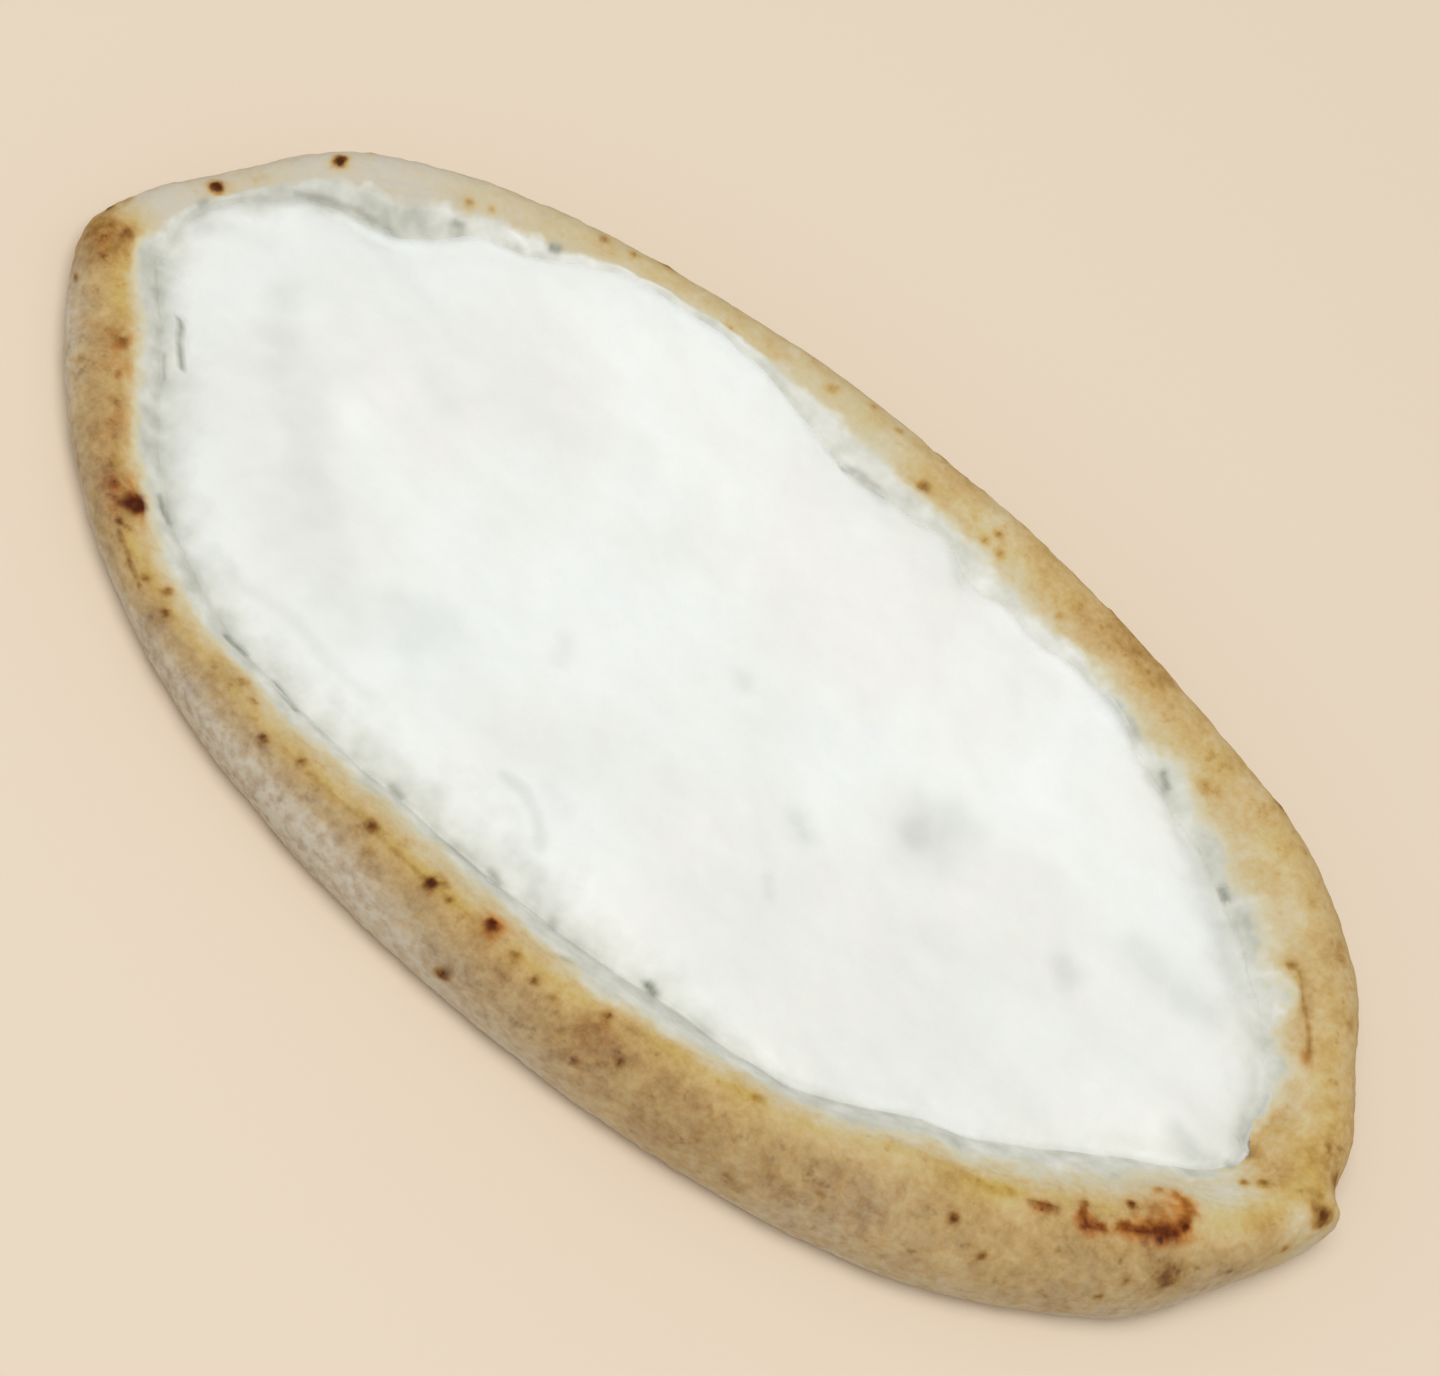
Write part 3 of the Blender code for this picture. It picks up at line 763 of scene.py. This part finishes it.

# %% [markdown]
# ## Cheese smears and slits
# Next to the cheese the dough is pale and greasy, smeared with it. The smear is strongest at the cheese's
# edge and ends raggedly on the way up to the crest, nearer to it in some stretches than in others. Its greys
# are partly thin cheese and partly painted shade, darker in some stretches. Slits are a little sunk and
# painted dark as shade, on the dough and the cheese alike. In the floury pocket on the far left the smear has
# thick white ridges, and the hollows between them are sunk and painted grey as shade.

# %% Smears and slits
SMEAR_START = 1.52
SMEAR_BLEND = 0.42
SMEAR_STRETCHES = (
    (0, 17, 0.44), (45, 13, 0), (72, 9, -0.02), (98, 8, -0.24), (119, 9, 0.12),
    (146, 17, -0.4), (180, 12, -0.32), (205, 15, -0.18), (234, 13, -0.12),
    (278, 9, -0.32), (301, 9, -0.22), (318, 8, -0.12),
)
SMEAR_WANDER, SMEAR_FRAYING = 0.20, 0.1
SMEAR_BURNT_OFF = 0.8
SMEAR_TONE = 0.53
RIDGE_TONE = 0.42
# Negative tones darken the smear in these stretches as painted shade.
TONE_AND_SHADE_STRETCHES = (
    (72, 9, 0.14), (98, 10, 0.06), (121, 9, 0.24), (153, 10, -0.24), (187, 13, -0.34),
    (216, 12, -0.22), (236, 10, -0.16), (40, 14, -0.1), (8, 12, -0.24),
    (262, 12, -0.08), (291, 12, -0.14),
)
WHITE_RIDGES = (
    (((-122, 40.6), (-114, 45.6), (-106.6, 49.6)), 1.1, 0.9),
    (((-96, 54.6), (-92, 52), (-89, 51.2), (-87, 49.6)), 0.8, 0.8),
    (((104, 44.5), (112, 40), (119, 33), (125, 27)), 1.4, 0.45),
    (((-90, -44), (-76, -46.5), (-60, -48.5)), 1.6, 0.4),
)
# Hollows between the ridges are sunk a little and painted grey as shade.
SHADED_HOLLOWS = (
    (((-114.6, 39.6), (-108, 41), (-102, 44)), 3.4, 0.5),
    (((-104, 51), (-98, 52.8)), 1.6, 0.8),
    (((-28, -50.2), (-14, -51.2), (-8, -50.2)), 1.7, 0.8),
    (((-66, -52), (-52, -53.2), (-44, -52.2)), 1.5, 0.5),
    (((60, 54), (68, 53)), 2.2, 0.7),
    (((94, 46), (104, 40), (112, 35)), 2, 0.6),
    (((136.5, 14), (137.5, 6), (137, 0)), 1.8, 0.7),
    (((126, 24), (131, 19.5), (134, 14)), 2.2, 0.5),
    (((70, -43.6), (90, -36.8), (110, -26.6), (122, -17), (131, -9)), 1.8, 0.6),
)
smear_start = SMEAR_START + stretches_at(crust_angles, SMEAR_STRETCHES)
smear_start += SMEAR_WANDER * ragged(crust_points, 7.0, 4.0) + SMEAR_FRAYING * crust_rag
smear = np.clip((crust_levels - smear_start) / SMEAR_BLEND, 0.0, 1.0)
smear *= 1.0 - SMEAR_BURNT_OFF * np.clip(mark_depth, 0.0, 1.0)
cheese_rag = ragged(cheese_points, 1.7, 6.0)


def drawn_lines(points, rag, lines):
    """How strongly these lines mark each point, from 0 to 1."""
    marked = np.zeros(len(points))
    for line, radius, depth in lines:
        for along, across in spots_along(line, radius * SPOT_OVERLAP):
            place = seen_point(along, across)
            if place is not None:
                marked = np.maximum(marked, depth * spread(points, place, radius, rag))
    return marked


crust_slits = drawn_lines(crust_points, crust_rag, SHADED_SLITS)
cheese_slits = drawn_lines(cheese_points, cheese_rag, SHADED_SLITS)
ridges_and_shade = drawn_lines(crust_points, crust_rag, WHITE_RIDGES)
ridges_and_shade -= drawn_lines(crust_points, crust_rag, SHADED_HOLLOWS)


def edge_tone(angles):
    """How white the thin cheese is at these angles, darker as painted shade in some stretches, before its
    ridges and painted hollows.
    """
    return SMEAR_TONE + stretches_at(angles, TONE_AND_SHADE_STRETCHES)


smear_and_shade_tone = edge_tone(crust_angles) + RIDGE_TONE * ridges_and_shade
print("slit points:", int((crust_slits > 0.3).sum()), "on the dough,", int((cheese_slits > 0.3).sum()),
      "on the cheese")

# %% [markdown]
# ## Hollows and painted shade
# Where the spoon drew through the cheese it left soft valleys, and in the oven some places sank. They are
# drawn in the view like the slits, only broad. The white is painted a little grey all over as shade, greyer
# in the valleys and lighter on the swells, and along the thin edge it takes the smear's greys.

# %% Hollows and painted shade
VALLEYS = (
    (((46, 11.4), (50, 13)), 6.5, 0.7),
    (((26, -3.4), (28, -4.6)), 2.8, 0.5),
    (((28, -16), (30.5, -18.4)), 1.6, 0.3),
    (((-121, 13), (-117, 7)), 6.5, 0.42),
    (((-112, 2), (-102, -4), (-95, -11), (-88, -15.5)), 6.5, 0.36),
    (((-128, 0), (-108, -20), (-80, -30)), 24, 0.16),
    (((-40, -28), (20, -32), (80, -22)), 22, 0.08),
    (((-99, -34.6), (-90, -36.8), (-79, -35.4), (-67, -38), (-57, -38)), 2.2, 0.36),
    (((-98, -20), (-84, -24), (-70, -26), (-58, -22)), 9, 0.3),
    (((-26, -33.2), (-21, -33), (-16, -35), (-12.6, -37.6), (-11.4, -39.8)), 1.5, 0.45),
    (((-17, -29), (-12, -30.4)), 3, 0.25),
    (((-86, 18), (-82, 17)), 4, 0.22),
    (((-33, -5), (-32, -8)), 2.4, 0.22),
    (((-0.6, 11.8), (0, 11)), 2, 0.3),
    (((85, 8), (87, 7)), 3.2, 0.45),
    (((62, -4.5), (66, -5)), 5, 0.25),
    (((94, 19), (102, 18), (114, 18.4)), 4, 0.35),
    (((96, 37), (104, 33), (113, 28), (120, 25)), 4, 0.5),
    (((124, -3.4), (129.5, -5), (133, -4)), 2.8, 0.7),
    (((17, 58), (20, 55)), 3, 0.5),
    (((-7, 57), (-2, 57)), 2.4, 0.5),
    (((-146, 17), (-142, 14)), 3.4, 0.5),
    (((-138, 16), (-130, 20)), 3, 0.25),
    (((60, -12), (90, -20)), 14, 0.12),
    (((134, 2), (133.4, 10), (130, 17), (124, 23)), 2.6, 0.5),
    (((84, 44.5), (92, 40), (100, 36)), 2.4, 0.42),
    (((-62, -46), (-48, -46.6), (-34, -47.4)), 3, 0.3),
    (((-26, -46), (-14, -47), (-2, -47.6)), 3.2, 0.34),
    (((-9, -44.6), (-6, -48)), 2.6, 0.4),
)
# Swells where the cheese is painted lighter, as painted light.
PAINTED_LIGHT_SWELLS = (
    (((-45, 48), (-10, 40), (30, 36), (70, 36)), 18, 0.8),
    (((0, -43), (12, -45)), 6, 0.8),
    (((-90, -42.5), (-74, -44.4), (-58, -45.6)), 2, 0.8),
    (((-95, 3), (-92, 9)), 4, 0.5),
    (((76, 24), (84, 21)), 4, 0.6),
    (((120, -7), (124, -2)), 3, 0.7),
    (((28, -8), (29, -12)), 3, 0.4),
)
GENERAL_SHADE, VALLEY_SHADE, SWELL_LIGHT, SHADE_UNEVENNESS = 0.12, 0.75, -0.2, 0.1
SOFT_EDGE = 1.8
THIN_UNEVENNESS, THIN_SHARPNESS = 0.5, 1.2
THIN_REACH_MM = 1.2
THIN_STRETCHES = ((200.0, 34.0, 4.5), (258.0, 26.0, 7.5), (24.0, 26.0, 5.5), (158.0, 14.0, 1.6))
VALLEY_DEPTH = 0.45 * MM
soft_rag = SOFT_EDGE * ragged(cheese_points, 7.0, 15.0)
valleys = drawn_lines(cheese_points, soft_rag, VALLEYS)
lit_swells = drawn_lines(cheese_points, soft_rag, PAINTED_LIGHT_SWELLS)
thin_reach = THIN_REACH_MM + stretches_at(cheese_angles, THIN_STRETCHES)
thin_reach *= 1.0 + THIN_UNEVENNESS * ragged(cheese_points, 7.0, 9.0)
# At its thin edge the cheese takes the smear's greys, which are partly painted shade.
thin_edge_and_shade = np.exp(-np.power(cheese_away / (thin_reach * MM), THIN_SHARPNESS))
# Painted shade on the cheese: a little grey all over, more in the valleys and less on the swells.
cheese_shade = GENERAL_SHADE + VALLEY_SHADE * valleys + SWELL_LIGHT * lit_swells
cheese_shade = np.clip(cheese_shade + SHADE_UNEVENNESS * ragged(cheese_points, 20.0, 5.0), 0.0, 1.0)
print("most whey", cheese_shade.max().round(2))

# %% [markdown]
# ## Relief
# Baked dough is never smooth: it has soft swells, small wrinkles and pores, and charred spots stand up as
# blisters. Each point moves along the direction its skin faces. Under the cheese nothing moves, so the two
# skins stay clear of each other, and the flat underside stays flat.

# %% Shape the dough's relief
RELIEF_SIZES_MM = ((9.0, 0.26), (3.6, 0.24), (1.6, 0.14))
BLISTER_RISE = 0.5 * MM
SLIT_DEPTH = 0.5 * MM
SMEAR_LUMPS_MM = ((5.5, 0.20), (2.2, 0.06))
SMEAR_RIDGE = 0.5 * MM
SMEAR_THICKNESS = 0.35 * MM
SMEAR_FILLS = 0.6
FAINTEST_BLISTER = 0.15
SINKING_RUN = 3 * MM
open_skin = np.interp(crust_levels, (-1.0, -0.8, 1.95, 2.12), (0.0, 1.0, 1.0, 0.0))
relief = SMEAR_THICKNESS * smear
for size, height in RELIEF_SIZES_MM:
    relief += height * MM * ragged(crust_points, size, size) * (1.0 - SMEAR_FILLS * smear)
for size, height in SMEAR_LUMPS_MM:
    relief += height * MM * ragged(crust_points, size, size + 20.0) * smear
relief += BLISTER_RISE * np.clip(mark_depth - FAINTEST_BLISTER, 0.0, 0.8)
relief += SMEAR_RIDGE * ridges_and_shade - SLIT_DEPTH * crust_slits
crust_points = crust_points + normals_of(crust) * (relief * open_skin)[:, None]
crust_points = np.clip(crust_points, np.array(dough_low), np.array(dough_high))
set_points(crust, crust_points)

sinking = SLIT_DEPTH * cheese_slits + VALLEY_DEPTH * valleys
sinking *= np.clip(cheese_away / SINKING_RUN, 0.0, 1.0)
cheese_points[:, 2] -= sinking
set_points(cheese, cheese_points)
print("relief from", (relief.min() / MM).round(2), "to", (relief.max() / MM).round(2), "mm")

# %% Store the painted values on the skins
def store(made, name, values):
    """Keeps one number for each point, for the finish to read."""
    made.data.attributes.new(name, "FLOAT", "POINT").data.foreach_set("value", values.astype(np.float32))


painted_on_dough = {
    "browning": browning, "warmth": warmth, "smear": smear, "smear_and_shade_tone": smear_and_shade_tone, "flour": flour,
    "slit": crust_slits,
}
painted_on_cheese = {
    "slit": cheese_slits, "cheese_shade": cheese_shade, "thin_edge_and_shade": thin_edge_and_shade, "smear_and_shade_tone": edge_tone(cheese_angles),
}
for made, painted in ((crust, painted_on_dough), (cheese, painted_on_cheese)):
    for name, values in painted.items():
        store(made, name, values)
for made, node in ((crust, "crust"), (cheese, "filling")):
    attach(made, "root")
    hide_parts(node)
print("both skins ride on the bread")

# %% [markdown]
# ## Helpers for finishes
# A finish is a small graph of nodes. These helpers add one node each and join it, so that the finishes below
# read from top to bottom. Colours are given as they look on a screen, from 0 to 255.

# %% Node helpers
def screen_colour(red, green, blue):
    """A screen colour as the linear values that a shader needs."""
    parts = []
    for part in (red, green, blue):
        part = part / 255.0
        parts.append(part / 12.92 if part <= 0.04045 else ((part + 0.055) / 1.055) ** 2.4)
    return (*parts, 1.0)


class Finish:
    """A material that is being built, with a helper for each kind of node."""

    def __init__(self, name):
        self.material = bpy.data.materials.new(name)
        self.material.use_nodes = True
        self.nodes = self.material.node_tree.nodes
        self.links = self.material.node_tree.links
        self.place = self.nodes.new("ShaderNodeTexCoord").outputs["Object"]

    def put(self, sockets, values):
        """Joins an output to each named socket, or sets the socket's own value."""
        for name, value in values.items():
            if isinstance(value, bpy.types.NodeSocket):
                self.links.new(value, sockets[name])
            else:
                sockets[name].default_value = value

    def add(self, kind, output, inputs, **settings):
        """Adds a node with these settings and inputs, and returns one of its outputs."""
        node = self.nodes.new("ShaderNode" + kind)
        for name, setting in settings.items():
            setattr(node, name, setting)
        self.put(node.inputs, inputs)
        return node.outputs[output]

    def lay_on(self, made, **values):
        """Sets the shader's own sockets and puts the finish on a skin."""
        sockets = self.nodes["Principled BSDF"].inputs
        self.put(sockets, {name.replace("_", " "): value for name, value in values.items()})
        made.data.materials.append(self.material)
        print(self.material.name, "has", len(self.nodes), "nodes")

    def painted(self, name):
        """One of the values stored on the skin."""
        return self.add("Attribute", "Fac", {}, attribute_name=name)

    def noise(self, size_mm, detail=3.0, roughness=0.55):
        """Soft noise from 0 to 1 with swells of about this size."""
        looks = {"Scale": 1.0 / (size_mm * MM), "Detail": detail, "Roughness": roughness}
        return self.add("TexNoise", "Fac", {"Vector": self.place, **looks})

    def pores(self, size_mm):
        """Distance to the nearest of many scattered dots, about this far apart."""
        return self.add("TexVoronoi", "Distance", {"Vector": self.place, "Scale": 1.0 / (size_mm * MM)})

    def math(self, kind, first, second, third=0.0):
        """One sum on numbers."""
        return self.add("Math", "Value", {0: first, 1: second, 2: third}, operation=kind)

    def shifted(self, value, noise, amount):
        """The value, moved up and down by noise."""
        return self.math("MULTIPLY_ADD", self.math("SUBTRACT", noise, 0.5), amount, value)

    def remap(self, value, low, high, to_low=0.0, to_high=1.0):
        """The value, stretched from low to high into to_low to to_high, and held inside that."""
        return self.add("MapRange", "Result", dict(enumerate((value, low, high, to_low, to_high))))

    def mix(self, share, first, second, blend="MIX"):
        """One colour over another, by a share from 0 to 1."""
        inputs = {0: share, 6: first, 7: second}
        return self.add("Mix", 2, inputs, data_type="RGBA", blend_type=blend)

    def relief(self, height, depth_mm, strength, below=None):
        """Fine relief that is too small to model."""
        inputs = {"Strength": strength, "Distance": depth_mm * MM, "Height": height}
        if below is not None:
            inputs["Normal"] = below
        return self.add("Bump", "Normal", inputs)

    def colours(self, value, stops):
        """A colour for each value, blended between the stops."""
        node = self.nodes.new("ShaderNodeValToRGB")
        self.links.new(value, node.inputs["Fac"])
        ramp = node.color_ramp.elements
        for place, colour in stops[1:-1]:
            ramp.new(place).color = screen_colour(*colour)
        for end in (0, -1):
            ramp[end].position, ramp[end].color = stops[end][0], screen_colour(*stops[end][1])
        return node.outputs["Color"]


print("helpers ready")

# %% [markdown]
# ## The baked dough's finish
# Browning picks the colour, from floury white through gold to char, and noise of two sizes shifts it.
# Warmth then tints it gold or red. Flour lies over that: thin flour is yellowish and thick flour grey, and it
# holds less well where the crust is brown. A smear first turns the dough cream and then covers it, in greys
# that run on into the cheese's own edge. The crust is dull, and a touch glossier where it browned.

# %% Finish the dough
BAKED_COLOURS = (
    (0.0, (218, 214, 202)),
    (0.2, (213, 205, 182)),
    (0.35, (208, 188, 145)),
    (0.5, (199, 167, 110)),
    (0.65, (176, 138, 78)),
    (0.8, (140, 99, 46)),
    (0.9, (108, 63, 25)),
    (1.0, (74, 36, 14)),
)
# The smear's darker greys are partly painted shade.
SMEAR_AND_SHADE_COLOURS = (
    (0.0, (180, 180, 167)),
    (0.35, (205, 205, 193)),
    (0.6, (221, 220, 209)),
    (1.0, (241, 241, 235)),
)
SMEAR_MOTTLING = 1.1
GRAIN, GRAIN_SHIFT = (1.7, 3.0, 0.6), 0.33
CLOUDS, CLOUD_SHIFT = (5.5, 2.0, 0.5), 0.28
FLECKS = (0.62, 0.74, 0.0, 0.12)
GOLDEN_WARMTH, RED_WARMTH, WARMTH_SHIFT = (-0.05, -0.9), (0.12, 1.0), 0.45
DUST_PATCHES, DUST_PATCHINESS = (2.2, 2.0, 0.5), (0.36, 0.64, 0.75, 1.25)
DUST_HELD = (0.5, 0.85, 1.1, 0.75)
THIN_TO_THICK = (0.35, 0.85)
CREAM_FROM, CHEESE_FROM, SMEAR_SHIFT = (0.08, 0.5), (0.35, 0.85), 0.5
DULLNESS = (0.2, 0.9, 0.86, 0.6)
GOLDEN_TINT = screen_colour(244, 241, 174)
RED_TINT = screen_colour(252, 202, 136)
THIN_DUST = screen_colour(199, 185, 148)
THICK_DUST = screen_colour(203, 195, 177)
GREASY_CREAM = screen_colour(212, 202, 168)
# The grey of the painted shade in the slits.
SLIT_SHADE = screen_colour(138, 140, 124)


def smear_and_shade_colour(finish, tone):
    """The greys and whites of thin cheese and painted shade, which are the same on both skins where they
    meet.
    """
    return finish.colours(finish.shifted(tone, finish.noise(*CLOUDS), SMEAR_MOTTLING), SMEAR_AND_SHADE_COLOURS)


def tinted(finish, share, colour, tint):
    """The colour, multiplied by a tint where the share is high."""
    return finish.mix(share, colour, finish.mix(1.0, colour, tint, "MULTIPLY"))


baked = Finish("baked_dough")
brown = baked.shifted(baked.painted("browning"), baked.noise(*GRAIN), GRAIN_SHIFT)
brown = baked.shifted(brown, baked.noise(*CLOUDS), CLOUD_SHIFT)
brown = baked.math("ADD", brown, baked.remap(baked.noise(3.0, 2.0), *FLECKS))
colour = baked.colours(brown, BAKED_COLOURS)
warm = baked.shifted(baked.painted("warmth"), baked.noise(5.0), WARMTH_SHIFT)
colour = tinted(baked, baked.remap(warm, *GOLDEN_WARMTH), colour, GOLDEN_TINT)
colour = tinted(baked, baked.remap(warm, *RED_WARMTH), colour, RED_TINT)
dusty = baked.remap(baked.noise(*DUST_PATCHES), *DUST_PATCHINESS)
dusty = baked.math("MULTIPLY", dusty, baked.remap(brown, *DUST_HELD))
floury = baked.painted("flour")
dust = baked.math("MULTIPLY", floury, dusty)
dust_colour = baked.mix(baked.remap(floury, *THIN_TO_THICK), THIN_DUST, THICK_DUST)
colour = baked.mix(baked.remap(dust, 0.0, 1.0), colour, dust_colour)
smeared = baked.painted("smear")
cover = baked.shifted(smeared, baked.noise(3.0, 2.0), SMEAR_SHIFT)
cover = baked.math("MULTIPLY", cover, baked.remap(smeared, 0.0, 0.15))
unfloured = baked.remap(floury, 0.2, 0.8, 1.0, 0.0)
greasy = baked.math("MULTIPLY", baked.remap(cover, *CREAM_FROM), unfloured)
colour = baked.mix(greasy, colour, GREASY_CREAM)
# The smear's greys, partly painted shade, cover the dough.
thin_cheese = smear_and_shade_colour(baked, baked.painted("smear_and_shade_tone"))
colour = baked.mix(baked.remap(cover, *CHEESE_FROM), colour, thin_cheese)
# Painted shade in the slits on the dough.
colour = baked.mix(baked.painted("slit"), colour, SLIT_SHADE)
coarse = baked.relief(baked.noise(2.2, 2.5), 0.35, 0.7)
fine = baked.relief(baked.noise(0.8, 2.0), 0.08, 0.6, coarse)
finest = baked.relief(baked.pores(2.4), 0.1, 0.35, fine)
dull = baked.remap(brown, *DULLNESS)
baked.lay_on(crust, Base_Color=colour, Roughness=dull, Specular_IOR_Level=0.10, Normal=finest)

# %% [markdown]
# ## The cheese's finish
# Soft white cheese lets a little light in under its skin, so it is given a short subsurface glow. Its white
# drifts between cool and warm in large soft clouds. It is painted grey as shade in the valleys and lighter as
# painted light on the swells, and at the thin edge it runs into the smear's own greys, which are partly
# painted shade. It is slightly moist, so its roughness varies too.

# %% Finish the cheese
COOL_WHITE = screen_colour(243, 246, 242)
WARM_WHITE = screen_colour(240, 240, 233)
# The grey of the painted shade on the cheese.
CHEESE_SHADE_GREY = screen_colour(196, 200, 192)

soft = Finish("soft_white_cheese")
clouds = soft.remap(soft.noise(40.0, 2.0), 0.38, 0.62)
white = soft.mix(clouds, COOL_WHITE, WARM_WHITE)
# Painted shade and painted light on the cheese's white.
painted_shade = soft.shifted(soft.painted("cheese_shade"), soft.noise(3.0, 4.0), 0.10)
white = soft.mix(soft.remap(painted_shade, 0.0, 1.0), white, CHEESE_SHADE_GREY)
# The thin edge in the smear's greys, partly painted shade.
edge_cover = soft.shifted(soft.painted("thin_edge_and_shade"), soft.noise(3.0, 2.0), 0.3)
white = soft.mix(soft.remap(edge_cover, 0.10, 0.95), white, smear_and_shade_colour(soft, soft.painted("smear_and_shade_tone")))
# Painted shade in the slits on the cheese.
white = soft.mix(soft.painted("slit"), white, SLIT_SHADE)
moist = soft.remap(soft.noise(5.0), 0.3, 0.7, 0.42, 0.6)
curds = soft.relief(soft.noise(1.8, 4.0), 0.12, 0.6)
soft.lay_on(
    cheese, Base_Color=white, Roughness=moist, Specular_IOR_Level=0.3, Normal=curds,
    Subsurface_Weight=0.25, Subsurface_Radius=(1.0, 0.9, 0.75), Subsurface_Scale=1.5 * MM,
)

# %% [markdown]
# ## Table, light and camera
# The bread lies on a plain beige surface. A large soft lamp hangs overhead, a little to the near side, so the
# cheese and the crests are bright, the near wall is in gentle shade and there is hardly a shadow on the
# table. The sky around it is an even white that fills the rest.

# %% The table
TABLE_COLOUR = screen_colour(231, 214, 192)
bpy.ops.mesh.primitive_plane_add(size=6.0, location=(0.0, 0.0, 0.0))
table = bpy.context.object
table.name = "table"
tabletop = Finish("plain_beige_table")
tabletop.lay_on(table, Base_Color=TABLE_COLOUR, Roughness=0.9, Specular_IOR_Level=0.1)
print("table laid")

# %% Light
SKY_STRENGTH = 0.5
LAMP_POWER = 18.8
LAMP_SIZE = 1.2
LAMP_PLACE = Vector((-0.08, -0.30, 1.78))

sky = bpy.data.worlds.new("even_sky")
sky.use_nodes = True
sky.node_tree.nodes["Background"].inputs["Color"].default_value = (1.0, 1.0, 1.0, 1.0)
sky.node_tree.nodes["Background"].inputs["Strength"].default_value = SKY_STRENGTH
bpy.context.scene.world = sky
bulb = bpy.data.lights.new("soft_overhead_lamp", "AREA")
bulb.shape = "DISK"
bulb.size = LAMP_SIZE
bulb.energy = LAMP_POWER
lamp = bpy.data.objects.new("soft_overhead_lamp", bulb)
lamp.location = LAMP_PLACE
lamp.rotation_euler = (AIM - LAMP_PLACE).to_track_quat("-Z", "Y").to_euler()
bpy.context.scene.collection.objects.link(lamp)
bpy.context.scene.view_settings.view_transform = "Standard"
print("lamp", round(LAMP_PLACE.length, 2), "m from the bread")

# %% [markdown]
# ## The camera
# The camera looks along the sight line from the viewpoint and is rolled so that the boat runs to the lower
# right. It then slides a few millimetres sideways and up, which puts the bread a little low in the picture.

# %% The camera
FOCAL_LENGTH_MM = 125.0
SENSOR_WIDTH_MM = 36.0
SLIDE_RIGHT = 2.0 * MM
SLIDE_UP = 7.7 * MM
right = ALONG_VIEW * math.cos(ROLL) + ACROSS_VIEW * math.sin(ROLL)
up = ACROSS_VIEW * math.cos(ROLL) - ALONG_VIEW * math.sin(ROLL)
lens = bpy.data.cameras.new("long_lens")
lens.lens = FOCAL_LENGTH_MM
lens.sensor_width = SENSOR_WIDTH_MM
lens.clip_start = 0.05
camera = bpy.data.objects.new("camera", lens)
camera.matrix_world = (
    Matrix.Translation(EYE + right * SLIDE_RIGHT + up * SLIDE_UP)
    @ Matrix((right, up, TOWARDS_EYE)).transposed().to_4x4()
)
bpy.context.scene.collection.objects.link(camera)
bpy.context.scene.camera = camera
print("view", round(DISTANCE * lens.sensor_width / lens.lens / MM), "mm wide at the bread")

# %% [markdown]
# ## Bring the scene up to date
# The dressed bread is meant to stay inside the solid model's box, and the dough's relief was clipped to it.

# %% Update the scene
bpy.context.view_layer.update()
